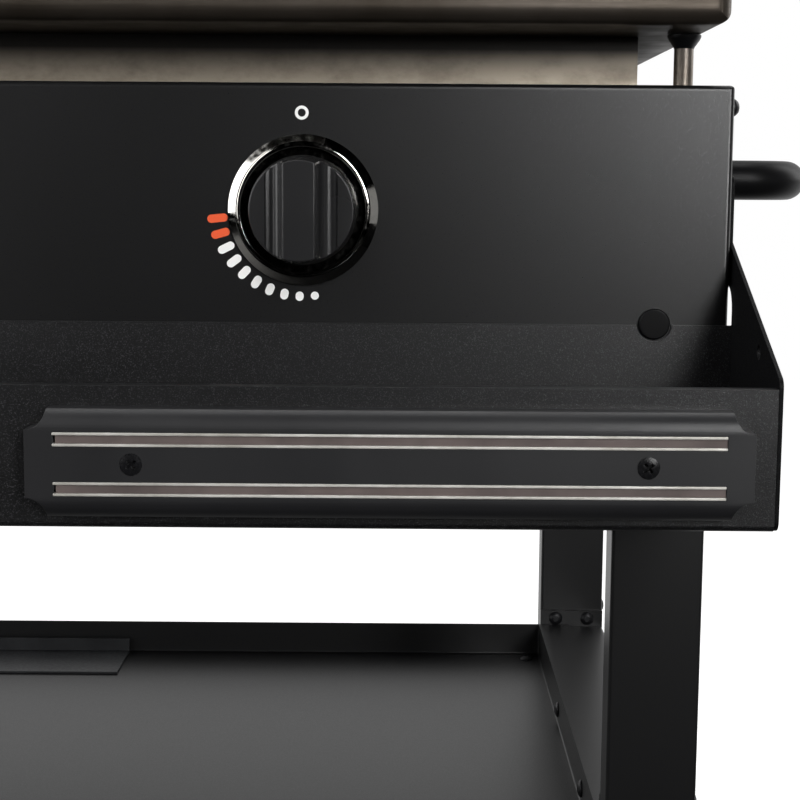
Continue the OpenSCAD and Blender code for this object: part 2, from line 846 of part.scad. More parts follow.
module gusset_outline() {
  offset(r = gusset_corner_r, $fn = 32) offset(delta = -gusset_corner_r) polygon([
    [ear_front, ear_z], [ear_back, ear_z], [ear_back, shelf_z],
    [-shelf_d, shelf_z], [-shelf_d, lip_z + gusset_rise], [ear_front, slope_z]
  ]);
}

module gusset() {
  window_mid = window_r - window_front;
  round_z = shelf_top_z + window_h - window_r;
  difference() {
    translate([side_out, 0, 0]) rotate([90, 0, 90]) linear_extrude(gusset_t) gusset_outline();
    translate([0, window_mid, round_z]) rod_x(window_r, side_out - 1, gusset_out + 1);
    block([side_out - 1, -window_front, shelf_top_z], [gusset_out + 1, window_mid + window_r, round_z]);
    translate([0, -hook_y, hook_z]) rod_x(hook_r, side_out - 1, gusset_out + 1);
    leg_bolt_holes(leg_front);
  }
}

module gusset_left() { color("#1d1d1f") on_side(-1) gusset(); }

module gusset_right() { color("#1d1d1f") on_side(1) gusset(); }

module shelf_screws() {
  color("#1d1d1f") for (x = [-shelf_screw_x, shelf_screw_x]) translate([x, 0, shelf_screw_z]) {
    rod_y(shelf_screw_r, -shelf_screw_h, 0);
    rod_y(bolt_r, 0, sheet_t + shelf_screw_end);
  }
}

// ---- Magnetic tool bar ----

function bar_screw_xs() = [bar_x + bar_screw_in, bar_x + bar_l - bar_screw_in];

module bar_screw_holes() {
  for (x = bar_screw_xs()) translate([x, 0, bar_z])
    rod_y(bar_screw_hole_r, -shelf_d - bar_t - 1, -shelf_d + shelf_t + 1);
}

// A flat face that rounds off above and below
module bar_section() {
  translate([0, -bar_h / 2]) square([bar_t - bar_crown, bar_h]);
  intersection() {
    translate([0, -bar_h / 2]) square([bar_t, bar_h]);
    union() {
      translate([0, -bar_flat / 2]) square([bar_t, bar_flat]);
      for (side = [-1, 1]) translate([bar_t - crown_r, side * bar_flat / 2]) circle(crown_r, $fn = 128);
    }
  }
}

module magnet_bar_housing() {
  half_row = row_h / 2 + channel_fit;
  color("#1a1a1b") difference() {
    translate([bar_x, -shelf_d, bar_z]) mirror([0, 1, 0]) rotate([90, 0, 90])
      linear_extrude(bar_l) bar_section();
    for (x = [bar_x, bar_x + bar_l], z = [bar_z - bar_h / 2, bar_z + bar_h / 2]) translate([x, 0, z])
      rod_y(scoop_r, -shelf_d - bar_t - 1, -shelf_d + 1);
    for (z = [bar_z - row_pitch / 2, bar_z + row_pitch / 2])
      block([bar_mid_x - strip_l / 2 - channel_end, -shelf_d - bar_t - 1, z - half_row],
            [bar_mid_x + strip_l / 2 + channel_end, -shelf_d - bar_t + channel_d, z + half_row]);
    bar_screw_holes();
    for (x = bar_screw_xs()) translate([x, -shelf_d - bar_t, bar_z]) rotate([90, 0, 0])
      translate([0, 0, -bar_screw_r]) cylinder(r1 = 0, r2 = 2 * bar_screw_r, h = 2 * bar_screw_r);
  }
}

module steel_strips() {
  color("#c8c8c6") for (row = [-1, 1], edge = [-1, 1]) {
    z = bar_z + row * row_pitch / 2 + edge * (magnet_h + strip_t) / 2;
    block([bar_mid_x - strip_l / 2, -shelf_d - strip_front, z - strip_t / 2],
          [bar_mid_x + strip_l / 2, -shelf_d - bar_t + channel_d, z + strip_t / 2]);
  }
}

module magnets() {
  color("#5b5450") for (row = [-1, 1]) {
    z = bar_z + row * row_pitch / 2;
    block([bar_mid_x - strip_l / 2 + magnet_end, -shelf_d - strip_front + magnet_back, z - magnet_h / 2],
          [bar_mid_x + strip_l / 2, -shelf_d - bar_t + channel_d, z + magnet_h / 2]);
  }
}

module bar_screws() {
  shank_r = bar_screw_hole_r - run_fit;
  head_fit = 0.1;
  head_r = bar_screw_r - 2 * head_fit;
  color("#1a1a1b") for (x = bar_screw_xs())
    translate([x, -shelf_d - bar_t, bar_z]) rotate([90, 0, 0]) {
      translate([0, 0, -head_r - head_fit]) difference() {
        cylinder(r1 = 0, r2 = head_r, h = head_r);
        translate([0, 0, head_r]) cube([head_r, 1, 3], center = true);
        translate([0, 0, head_r]) cube([1, head_r, 3], center = true);
      }
      translate([0, 0, -bar_t - shelf_t - 4]) cylinder(r = shank_r, h = bar_t + shelf_t);
    }
}

// ---- Legs ----

module tube_section(w, d) {
  difference() {
    rounded(w, d, leg_r);
    rounded(w - 2 * leg_wall, d - 2 * leg_wall, leg_r - leg_wall / 2);
  }
}

module leg(y, low_z) {
  mid_y = leg_mid_y(y);
  plug_w = leg_w - 2 * leg_wall;
  plug_d = leg_t - 2 * leg_wall;
  difference() {
    union() {
      translate([leg_mid_x, mid_y, low_z]) linear_extrude(leg_top_z - low_z) tube_section(leg_w, leg_t);
      for (z = [low_z, leg_top_z - plug_t]) translate([leg_mid_x, mid_y, z])
        linear_extrude(plug_t) rounded(plug_w + leg_wall, plug_d + leg_wall, leg_r);
    }
    translate([post_x, mid_y, 0]) rod_z(post_r + run_fit, leg_top_z - plug_t - 1, leg_top_z + 1);
    leg_bolt_holes(y);
    translate([0, mid_y, panel_top - joint_bolt_drop])
      rod_x(bolt_r + bolt_fit, half_w - leg_wall - 1, half_w + 1);
    for (x = end_bolt_xs(), z = end_bolt_zs()) translate([x, 0, z])
      rod_y(bolt_r + bolt_fit, y < body_d / 2 ? y + leg_t - leg_wall - 1 : y - 1,
            y < body_d / 2 ? y + leg_t + 1 : y + leg_wall + 1);
    children();
  }
}

module left_leg(y) {
  leg(y, left_leg_z) translate([leg_mid_x, 0, axle_z]) rod_y(axle_r + run_fit, y - 1, y + leg_t + 1);
}

module right_leg(y) {
  leg(y, foot_h) translate([leg_mid_x, leg_mid_y(y), 0])
    rod_z(stud_r + run_fit, foot_h - 1, foot_h + plug_t + 1);
}

module leg_front_left() { color("#1d1d1f") on_side(-1) left_leg(leg_front); }

module leg_front_right() { color("#1d1d1f") on_side(1) right_leg(leg_front); }

module leg_rear_left() { color("#1d1d1f") on_side(-1) left_leg(leg_rear); }

module leg_rear_right() { color("#1d1d1f") on_side(1) right_leg(leg_rear); }

module leg_bolts() {
  color("#2a2a2c") for (side = [-1, 1]) on_side(side) {
    for (z = leg_bolt_zs()) {
      translate([gusset_out, leg_mid_y(leg_front), z]) bolt_x(gusset_out - half_w + leg_wall + 4);
      translate([side_out, leg_mid_y(leg_rear), z]) bolt_x(side_out - half_w + leg_wall + 4);
    }
    for (y = [leg_front, leg_rear]) translate([half_w, leg_mid_y(y), panel_top - joint_bolt_drop])
      bolt_x(leg_wall + 4);
  }
}

// Levelling posts: each screws into a leg's top plate and carries a boss under the plate
module levelling_posts() {
  color("#8d8f91") for (side = [-1, 1], y = [leg_front, leg_rear]) on_side(side)
    translate([post_x, leg_mid_y(y), 0]) {
      rod_z(post_r, leg_top_z - post_foot, boss_top_z - boss_h / 2);
      rod_z(boss_r, boss_top_z - boss_h, boss_top_z);
      translate([0, 0, leg_top_z]) cylinder(r = nut_r, h = nut_h, $fn = 6);
    }
}

module levelling_feet() {
  color("#202022") for (y = [leg_front, leg_rear]) translate([leg_mid_x, leg_mid_y(y), 0]) {
    rod_z(foot_r, 0, pad_h / 2);
    translate([0, 0, pad_h / 2]) cylinder(r1 = foot_r, r2 = nut_r, h = pad_h / 2);
    rod_z(stud_r, pad_h, foot_h + plug_t + 8);
    translate([0, 0, foot_h - nut_h]) cylinder(r = nut_r, h = nut_h, $fn = 6);
  }
}

// ---- Axle and wheels ----

axle_from = wheel_front_y - axle_end;
axle_to = wheel_rear_y + wheel_w + axle_end;

module axle() { color("#8d8f91") translate([-leg_mid_x, 0, axle_z]) rod_y(axle_r, axle_from, axle_to); }

module axle_caps() {
  color("#2a2a2c") translate([-leg_mid_x, 0, axle_z]) {
    difference() {
      union() {
        rod_y(cap_r, axle_from - cap_h + axle_end, wheel_front_y - 1);
        rod_y(cap_r, wheel_rear_y + wheel_w + 1, axle_to + cap_h - axle_end);
        rod_y(cap_r, leg_front - wheel_gap + 0.5, leg_front);
        rod_y(cap_r, leg_rear + leg_t, wheel_rear_y - 0.5);
      }
      rod_y(axle_r + run_fit, axle_from, axle_to);
    }
  }
}

module wheel_at_origin() {
  rim_r = wheel_r - tyre_t;
  difference() {
    union() {
      rod_y(hub_r, 0, wheel_w);
      rod_y(rim_r, (wheel_w - disc_t) / 2, (wheel_w + disc_t) / 2);
      difference() {
        rod_y(rim_r, 2, wheel_w - 2);
        rod_y(rim_r - 5, 0, wheel_w);
      }
    }
    rod_y(axle_r + run_fit, -1, wheel_w + 1);
    for (i = [0 : spoke_holes - 1]) rotate([0, i * 360 / spoke_holes, 0])
      translate([(rim_r + hub_r) / 2, 0, 0]) rod_y(spoke_hole_r, -1, wheel_w + 1);
  }
}

module tyre_at_origin() {
  rotate([-90, 0, 0]) rotate_extrude($fn = 96) translate([wheel_r - tyre_t, 0]) {
    square([tyre_t - tyre_round, wheel_w]);
    translate([0, tyre_round]) square([tyre_t, wheel_w - 2 * tyre_round]);
    for (y = [tyre_round, wheel_w - tyre_round]) translate([tyre_t - tyre_round, y]) circle(tyre_round);
  }
}

module wheel_front() { color("#2c2c2e") translate([-leg_mid_x, wheel_front_y, axle_z]) wheel_at_origin(); }

module wheel_rear() { color("#2c2c2e") translate([-leg_mid_x, wheel_rear_y, axle_z]) wheel_at_origin(); }

module tyre_front() { color("#141414") translate([-leg_mid_x, wheel_front_y, axle_z]) tyre_at_origin(); }

module tyre_rear() { color("#141414") translate([-leg_mid_x, wheel_rear_y, axle_z]) tyre_at_origin(); }

// ---- Side rails and lower shelf ----

function end_bolt_xs() = [leg_mid_x - end_bolt_x, leg_mid_x + end_bolt_x];
function end_bolt_zs() = [end_top_z - end_bolt_in, end_z + end_bolt_in];

module side_rail() {
  difference() {
    union() {
      translate([leg_mid_x, rail_front, rail_z + rail_h / 2]) rotate([-90, 0, 0])
        linear_extrude(leg_rear - rail_front) tube_section(leg_w, rail_h);
      for (y = [rail_front, leg_rear - end_t]) block([leg_in, y, end_z], [half_w, y + end_t, end_top_z]);
      for (y = [rail_front, leg_rear - tab_d])
        block([leg_in - tab_l, y, tray_under_z - end_t], [leg_in + tab_root, y + tab_d, tray_under_z]);
    }
    tab_bolt_holes();
    for (x = end_bolt_xs(), z = end_bolt_zs()) translate([x, 0, z]) {
      rod_y(bolt_r + bolt_fit, rail_front - 1, rail_front + end_t + 1);
      rod_y(bolt_r + bolt_fit, leg_rear - end_t - 1, leg_rear + 1);
    }
    tray_bolt_holes();
  }
}

module side_rail_left() { color("#1d1d1f") on_side(-1) side_rail(); }

module side_rail_right() { color("#1d1d1f") on_side(1) side_rail(); }

// Holes for the screws that fix the tray's walls to the rails
module tray_bolt_holes() {
  for (y = tray_bolt_ys) translate([0, y, tray_bolt_z])
    rod_x(tray_screw_r + bolt_fit, leg_in - 2 * tray_t, leg_in + leg_wall + 1);
}

// Holes for the screws that fix the tray's floor to the rails' tabs
module tab_bolt_holes() {
  for (y = tab_bolt_ys) translate([leg_in - tab_bolt_in, y, 0])
    rod_z(tray_screw_r + bolt_fit, tray_under_z - end_t - 1, tray_floor_z + 1);
}

module lower_shelf() {
  tray_d = tray_back - tray_front;
  color("#1d1d1f") difference() {
    union() {
      translate([0, tray_front + tray_d / 2, tray_floor_z - tray_t])
        pan(2 * leg_in, tray_d, tray_h + tray_t, tray_t, 2 * tray_t);
      for (side = [-1, 1]) on_side(side)
        block([leg_in - tray_t, rail_front + end_t + 1, tray_z - tray_t],
              [leg_in + flange_w, leg_rear - end_t - 1, tray_z]);
    }
    for (side = [-1, 1]) on_side(side) {
      tab_bolt_holes();
      tray_bolt_holes();
    }
  }
}

module cylinder_rest() {
  back = tray_back - tray_t - rest_back_gap;
  color("#2b2b2d") {
    block([rest_x, back - rest_d, tray_floor_z], [rest_x + rest_l, back, tray_floor_z + rest_t]);
    block([rest_x, back - rest_t, tray_floor_z], [rest_x + rest_l, back, tray_floor_z + rest_lip]);
  }
}

module tray_bolts() {
  color("#2a2a2c") for (side = [-1, 1]) on_side(side) {
    for (x = end_bolt_xs(), z = end_bolt_zs()) {
      translate([x, rail_front + end_t, z]) bolt_back(end_t + leg_wall + 3);
      translate([x, leg_rear - end_t, z]) bolt_front(end_t + leg_wall + 3);
    }
    for (y = tray_bolt_ys) translate([leg_in - tray_t, y, tray_bolt_z]) rotate([0, -90, 0])
      button_bolt(bolt_head_r, bolt_head_h, tray_screw_r, tray_t + leg_wall + 3);
    for (y = tab_bolt_ys) translate([leg_in - tab_bolt_in, y, tray_floor_z])
      button_bolt(bolt_head_r, bolt_head_h, tray_screw_r, tray_t + end_t + 6);
  }
}

// ---- Side handle ----

module handle_arm(y, turn) {
  corner_x = handle_x - handle_bend;
  translate([0, y, handle_z]) rod_x(handle_r, side_out + handle_flange_t - 1, corner_x);
  translate([corner_x, y + turn * handle_bend, handle_z]) rotate([0, 0, turn > 0 ? -90 : 0])
    rotate_extrude(angle = 90) translate([handle_bend, 0]) circle(handle_r);
}

module side_handle() {
  color("#1a1a1b") difference() {
    union() {
      handle_arm(handle_y, 1);
      handle_arm(handle_back, -1);
      translate([handle_x, 0, handle_z]) rod_y(handle_r, handle_y + handle_bend, handle_back - handle_bend);
      for (y = [handle_y, handle_back]) translate([0, y, handle_z])
        rod_x(flange_r, side_out, side_out + handle_flange_t);
    }
    for (y = [handle_y, handle_back]) handle_bolt_holes(y);
  }
}

module handle_bolt_places(y) {
  for (turn = [45, 135, 225, 315]) translate([0, y, handle_z]) rotate([turn, 0, 0])
    translate([0, handle_bolt_out, 0]) children();
}

module handle_bolt_holes(y) {
  handle_bolt_places(y) rod_x(handle_bolt_r + bolt_fit, half_w - 1, side_out + handle_flange_t + 1);
}

module handle_bolts() {
  color("#2a2a2c") for (y = [handle_y, handle_back]) handle_bolt_places(y)
    translate([side_out + handle_flange_t, 0, 0]) rotate([0, 90, 0])
      button_bolt(handle_head_r, bolt_head_h, handle_bolt_r, handle_flange_t + sheet_t + 3);
}

// ---- Griddle plate ----

// What lies above the plate's walls: low at the front, then a slope up to the full height
module wall_cut() {
  low = plate_z + front_wall_h;
  high = plate_z + rear_wall_h;
  translate([-plate_w, 0, 0]) rotate([90, 0, 90]) linear_extrude(2 * plate_w)
    polygon([[-1, low], [plate_r, low], [wall_slope, high], [wall_slope, high + 1], [-1, high + 1]]);
}

module griddle_plate() {
  floor_z = plate_z + plate_t;
  chute_back = plate_d + chute_l;
  color("#6d655c") difference() {
    union() {
      translate([0, plate_mid_y, plate_z]) pan(plate_w, plate_d, rear_wall_h, plate_t, plate_r);
      for (side = [-1, 1]) on_side(side)
        block([outlet_w / 2, plate_d - plate_t / 2, floor_z - chute_t],
              [outlet_w / 2 + chute_t, chute_back, floor_z + chute_lip]);
      block([-outlet_w / 2 - chute_t, plate_d - plate_t / 2, floor_z - chute_t],
            [outlet_w / 2 + chute_t, chute_back, floor_z]);
      block([-outlet_w / 2 - chute_t, chute_back - chute_t, floor_z - chute_t - chute_drop],
            [outlet_w / 2 + chute_t, chute_back, floor_z]);
    }
    wall_cut();
    block([-outlet_w / 2, plate_d - plate_r - plate_t, floor_z],
          [outlet_w / 2, plate_d + 1, floor_z + outlet_h]);
  }
}

module wind_skirts() {
  low = panel_top - skirt_drop;
  color("#8a8073") {
    for (y = [skirt_y, skirt_back - skirt_t]) block([-skirt_x, y, low], [skirt_x, y + skirt_t, plate_z]);
    for (side = [-1, 1]) on_side(side)
      block([skirt_x - skirt_t, skirt_y + skirt_t, low], [skirt_x, skirt_back - skirt_t, plate_z]);
  }
}

// ---- Hood ----

module hood_section(len, h, front_r, rear_r) {
  square([len, h - max(front_r, rear_r)]);
  translate([front_r, 0]) square([len - front_r - rear_r, h]);
  translate([len / 2, 0]) square([len / 2, h - rear_r]);
  translate([front_r, h - front_r]) circle(front_r, $fn = 96);
  translate([len - rear_r, h - rear_r]) circle(rear_r);
}

// A slice of the hood's outline between two planes across the hood
module hood_slice(from, to, len, h, front_r, rear_r) {
  translate([from, 0, 0]) rotate([90, 0, 90]) linear_extrude(to - from) hood_section(len, h, front_r, rear_r);
}

// The bent sheet of the hood, open below and at its ends
module hood_shell() {
  t = hood_t;
  edge = hood_half_w - t;
  color("#1d1d1f") translate([0, hood_front, hood_z]) difference() {
    hood_slice(-edge, edge, hood_len, hood_h, hood_front_r, hood_rear_r);
    translate([0, t, -1])
      hood_slice(-edge - 1, edge + 1, hood_len - 2 * t, hood_h - t + 1, hood_front_r - t, hood_rear_r - t);
  }
}

// A flat plate that closes an end of the hood
module hood_end() {
  translate([0, hood_front, hood_z])
    hood_slice(hood_half_w - hood_t, hood_half_w, hood_len, hood_h, hood_front_r, hood_rear_r);
}

module hood_end_left() { color("#1d1d1f") on_side(-1) hood_end(); }

module hood_end_right() { color("#1d1d1f") on_side(1) hood_end(); }

module hood_handle() {
  z = hood_z + grip_lift;
  y = hood_front - grip_out;
  color("#b9b9b7") {
    translate([0, y, z]) rod_x(grip_r, -grip_l / 2, grip_l / 2);
    for (x = [-1, 1]) translate([x * (grip_l / 2 - 2 * grip_r), 0, z]) {
      rod_y(stand_r, y, hood_front);
      rod_y(stand_foot_r, hood_front - stand_foot_t, hood_front);
    }
  }
}

module hood_hinge_leaves() {
  half = knuckle_w / 2;
  color("#2a2a2c") for (x = [-hinge_x, hinge_x]) translate([x, 0, 0]) difference() {
    union() {
      block([-leaf_w / 2, hood_back, hood_z + knuckle_r + pin_lift],
            [leaf_w / 2, hood_back + leaf_t, hood_z + leaf_h]);
      block([-half, hood_back, hood_z], [half, hood_back + leaf_t, hood_z + leaf_h]);
      block([-half, hood_back, pin_z - knuckle_r / 2], [half, pin_y, pin_z + knuckle_r / 2]);
      translate([0, pin_y, pin_z]) rod_x(knuckle_r, -half, half);
    }
    translate([0, pin_y, pin_z]) rod_x(pin_r + run_fit, -half - 1, half + 1);
  }
}

module hood_bumpers() {
  low = plate_z + front_wall_h + seat_gap;
  inner = hood_front + hood_t;
  color("#2b2b2b") for (x = [-bumper_x, bumper_x])
    block([x - bumper_w / 2, inner, low], [x + bumper_w / 2, inner + bumper_d, low + bumper_h]);
}

// Hinge brackets on the plate's rear wall, with an ear on each side of a knuckle
module hinge_brackets() {
  base_top = hood_z - 4;
  base_z = plate_z + plate_r + 2;
  near = knuckle_w / 2 + ear_gap;
  outer = near + ear_t;
  back = pin_y + knuckle_r;
  color("#2a2a2c") for (x = [-hinge_x, hinge_x]) translate([x, 0, 0]) difference() {
    union() {
      block([-outer, plate_d, base_z], [outer, plate_d + ear_t, base_top]);
      for (side = [-1, 1]) on_side(side) {
        block([near, plate_d, base_z], [outer, back, base_top]);
        block([near, pin_y - knuckle_r, base_z], [outer, back, pin_z]);
        translate([0, pin_y, pin_z]) rod_x(knuckle_r, near, outer);
      }
    }
    translate([0, pin_y, pin_z]) rod_x(pin_r + run_fit, -outer - 1, outer + 1);
  }
}

module hinge_pins() {
  outer = knuckle_w / 2 + ear_gap + ear_t + pin_end;
  color("#8d8f91") for (x = [-hinge_x, hinge_x]) translate([x, pin_y, pin_z]) {
    rod_x(pin_r, -outer, outer);
    rod_x(pin_r * 1.5, -outer - pin_end, -outer);
    rod_x(pin_r * 1.5, outer, outer + pin_end);
  }
}

// ---- Grease cup ----

function runner_x() = cup_w / 2 + cup_side_gap;
function runner_bolt_xs() = [-runner_x() - runner_w / 2 - cup_t, runner_x() + runner_w / 2 + cup_t];

// Two runners: each is a flat strip that carries the cup's rim, with a foot on the rear panel
module grease_runners() {
  far = cup_front + cup_d;
  near_x = runner_x();
  color("#8f9194") for (side = [-1, 1]) on_side(side) difference() {
    union() {
      block([near_x, body_d, runner_z - cup_t], [near_x + runner_w, far, runner_z]);
      block([near_x + runner_w - cup_t, body_d, runner_z - cup_t],
            [near_x + runner_w, far, runner_z + rim_w]);
      block([near_x, body_d, runner_z - runner_h], [near_x + runner_w, body_d + cup_t, runner_z]);
    }
    for (x = runner_bolt_xs()) translate([x, 0, runner_z - runner_h / 2])
      rod_y(screw_r + bolt_fit, body_d - 1, body_d + cup_t + 1);
  }
}

module grease_cup() {
  rim_z = runner_z + seat_gap;
  color("#a2a3a2") difference() {
    union() {
      translate([0, cup_front + cup_d / 2, rim_z + cup_t - cup_h]) soft_block(cup_w, cup_d, cup_h, cup_r);
      block([-cup_w / 2 - rim_w, cup_front, rim_z],
            [cup_w / 2 + rim_w, cup_front + cup_d + rim_w, rim_z + cup_t]);
      block([-tongue_w / 2, cup_front + cup_d + rim_w - cup_t, rim_z - tongue_h],
            [tongue_w / 2, cup_front + cup_d + rim_w, rim_z]);
    }
    translate([0, cup_front + cup_d / 2, rim_z + 2 * cup_t - cup_h])
      soft_block(cup_w - 2 * cup_t, cup_d - 2 * cup_t, cup_h, cup_r - cup_t);
  }
}

place() control_panel();
place() side_panel_left();
place() side_panel_right();
place() rear_panel();
place() heat_shield();
place() burner_left();
place() burner_right();
place() burner_supports();
place() gas_manifold();
place() gas_inlet_fitting();
place() valve_body_left();
place() valve_body_right();
place() igniter_electrodes();
place() bezel_left();
place() bezel_right();
place() valve_stem_left();
place() valve_stem_right();
place() knob_left();
place() knob_right();
place() shelf_pan();
place() gusset_left();
place() gusset_right();
place() shelf_screws();
place() body_screws();
place() magnet_bar_housing();
place() steel_strips();
place() magnets();
place() bar_screws();
place() leg_front_left();
place() leg_front_right();
place() leg_rear_left();
place() leg_rear_right();
place() leg_bolts();
place() side_rail_left();
place() side_rail_right();
place() lower_shelf();
place() cylinder_rest();
place() tray_bolts();
place() axle();
place() axle_caps();
place() wheel_front();
place() wheel_rear();
place() tyre_front();
place() tyre_rear();
place() levelling_feet();
place() side_handle();
place() handle_bolts();
place() levelling_posts();
place() griddle_plate();
place() wind_skirts();
place() hinge_brackets();
place() hinge_pins();
place() hood_shell();
place() hood_end_left();
place() hood_end_right();
place() hood_handle();
place() hood_hinge_leaves();
place() hood_bumpers();
place() grease_cup();
place() grease_runners();
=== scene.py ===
"""Looks of an outdoor gas griddle station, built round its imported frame.

Lengths are millimetres as on the maker's drawing: X runs right from the middle of the body, Y runs
back from the control panel's face and Z runs up from the floor. Meshes are metres in the frame.
"""

import json
import logging
import math
from contextlib import contextmanager
from dataclasses import dataclass
from enum import Enum
from typing import Any, Iterator, Sequence

import bpy
from mathutils import Matrix, Vector

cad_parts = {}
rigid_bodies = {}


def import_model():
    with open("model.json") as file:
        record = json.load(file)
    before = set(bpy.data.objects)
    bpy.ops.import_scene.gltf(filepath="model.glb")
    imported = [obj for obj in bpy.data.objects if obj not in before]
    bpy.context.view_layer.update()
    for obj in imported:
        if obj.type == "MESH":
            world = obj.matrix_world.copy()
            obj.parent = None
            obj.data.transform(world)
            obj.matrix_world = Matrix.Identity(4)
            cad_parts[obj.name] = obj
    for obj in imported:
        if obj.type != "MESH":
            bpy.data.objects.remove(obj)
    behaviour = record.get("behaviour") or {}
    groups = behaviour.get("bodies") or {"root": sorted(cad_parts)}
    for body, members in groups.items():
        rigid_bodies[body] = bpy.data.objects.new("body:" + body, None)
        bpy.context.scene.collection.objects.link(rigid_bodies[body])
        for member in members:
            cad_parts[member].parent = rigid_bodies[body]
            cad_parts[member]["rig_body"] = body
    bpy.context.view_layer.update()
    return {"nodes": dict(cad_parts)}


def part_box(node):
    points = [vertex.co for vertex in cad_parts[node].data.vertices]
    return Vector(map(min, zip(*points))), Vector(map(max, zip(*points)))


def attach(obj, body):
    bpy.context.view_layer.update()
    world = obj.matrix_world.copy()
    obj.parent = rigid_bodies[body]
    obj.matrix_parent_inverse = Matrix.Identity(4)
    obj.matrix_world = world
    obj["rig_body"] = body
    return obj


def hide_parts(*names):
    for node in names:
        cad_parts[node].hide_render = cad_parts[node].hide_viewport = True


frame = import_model()

log = logging.getLogger("griddle")

MM = 0.001
PANEL_LOW, PANEL_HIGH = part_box("control_panel")
DATUM = Vector(((PANEL_LOW.x + PANEL_HIGH.x) / 2, PANEL_LOW.y, 0.0))
PANEL_TOP = PANEL_HIGH.z / MM
# Vertices closer than this, in metres, are one: on a CAD mesh, and on a piece that was cut
MERGE = 1e-5
FINE_MERGE = 0.1 * MM
# How far a cutter reaches past what it cuts, in millimetres
OVERCUT = 2.0

Piece = bpy.types.Object
Tree = bpy.types.NodeTree
Socket = bpy.types.NodeSocket
Points = Sequence[tuple[float, float]]
Place = tuple[float, float, float]


# ---- Bench: modelling by operators ----


class Facing(Enum):
    """Turns, in degrees, that aim a piece made along +Z."""

    UP = (0, 0, 0)
    DOWN = (180, 0, 0)
    FRONT = (90, 0, 0)
    BACK = (-90, 0, 0)
    RIGHT = (0, 90, 0)
    ALONG_X = (90, 0, 90)


def point(x: float, y: float, z: float) -> Vector:
    """Returns the frame's point for a place on the drawing."""
    return DATUM + Vector((x, y, z)) * MM


def drawing_box(node: str) -> tuple[Vector, Vector]:
    """Returns a CAD node's lowest and highest corners on the drawing, in millimetres."""
    low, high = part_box(node)
    return (low - DATUM) / MM, (high - DATUM) / MM


def select_only(piece: Piece) -> None:
    """Selects one object and makes it the active one."""
    bpy.ops.object.select_all(action="DESELECT")
    piece.select_set(True)
    bpy.context.view_layer.objects.active = piece


@contextmanager
def editing(piece: Piece) -> Iterator[None]:
    """Opens a piece in edit mode with all its vertices selected.

    Args:
        piece: the piece to work on.
    """
    select_only(piece)
    bpy.ops.object.mode_set(mode="EDIT")
    bpy.ops.mesh.select_mode(type="VERT")
    bpy.ops.mesh.select_all(action="SELECT")
    yield
    bpy.ops.object.mode_set(mode="OBJECT")


def modified(piece: Piece, kind: str, **settings: Any) -> Piece:
    """Adds a modifier, sets it and applies it.

    Args:
        piece: the piece to change.
        kind: the modifier's type.
        settings: its settings by name.

    Returns:
        The piece.
    """
    select_only(piece)
    bpy.ops.object.modifier_add(type=kind)
    modifier = piece.modifiers[-1]
    for key, value in settings.items():
        setattr(modifier, key, value)
    bpy.ops.object.modifier_apply(modifier=modifier.name)
    return piece


def smoothed(piece: Piece, angle: float = 34) -> Piece:
    """Shades a piece smooth but for its sharp edges, with its large faces flat.

    Args:
        piece: the piece to shade.
        angle: edges sharper than this stay sharp, in degrees.

    Returns:
        The piece.
    """
    select_only(piece)
    bpy.ops.object.shade_smooth_by_angle(angle=math.radians(angle))
    return modified(piece, "WEIGHTED_NORMAL", weight=100, keep_sharp=True)


def cleaned(piece: Piece, merge: float = MERGE) -> Piece:
    """Merges a piece's close vertices and makes its flat faces whole.

    Args:
        piece: the piece to clean.
        merge: vertices closer than this are merged, in metres.

    Returns:
        The piece.
    """
    with editing(piece):
        bpy.ops.mesh.remove_doubles(threshold=merge)
        bpy.ops.mesh.dissolve_degenerate(threshold=merge)
        bpy.ops.mesh.dissolve_limited(angle_limit=math.radians(0.5))
    return piece


def eased(piece: Piece, width: float, segments: int = 3, angle: float = 34,
          clamp: bool = True) -> Piece:
    """Rounds a piece's sharp edges and shades it.

    Args:
        piece: the piece to change.
        width: width of the rounding, in millimetres.
        segments: faces across the rounding.
        angle: edges sharper than this are rounded, in degrees.
        clamp: keeps the rounding narrower than the shortest edge, everywhere.

    Returns:
        The piece.
    """
    modified(piece, "BEVEL", width=width * MM, segments=segments, limit_method="ANGLE",
             angle_limit=math.radians(angle), miter_outer="MITER_ARC", use_clamp_overlap=clamp)
    return smoothed(piece, angle)


def stood(piece: Piece, place: Place, facing: Facing = Facing.UP) -> Piece:
    """Aims a piece, moves it to a place on the drawing and applies both.

    Args:
        piece: the piece, made at the origin.
        place: where its origin goes.
        facing: where its +Z points.

    Returns:
        The piece.
    """
    piece.rotation_euler = [math.radians(turn) for turn in facing.value]
    piece.location = point(*place)
    select_only(piece)
    bpy.ops.object.transform_apply(location=True, rotation=True, scale=True)
    return piece


def drawn_line(name: str, points: Sequence[Vector]) -> Piece:
    """Draws a chain of edges from one vertex.

    Args:
        name: the new object's name.
        points: the chain's points, in metres.

    Returns:
        The new object.
    """
    bpy.ops.object.select_all(action="DESELECT")
    bpy.ops.mesh.primitive_plane_add(size=MM)
    line = bpy.context.object
    line.name = name
    with editing(line):
        bpy.ops.mesh.merge(type="CENTER")
        bpy.ops.transform.translate(value=points[0])
        for before, after in zip(points, points[1:]):
            bpy.ops.mesh.extrude_vertices_move(TRANSFORM_OT_translate={"value": after - before})
    return line


def closed_up() -> None:
    """Merges doubled vertices and points the faces outward, in edit mode."""
    bpy.ops.mesh.select_all(action="SELECT")
    bpy.ops.mesh.remove_doubles(threshold=MERGE / 10)
    bpy.ops.mesh.normals_make_consistent(inside=False)


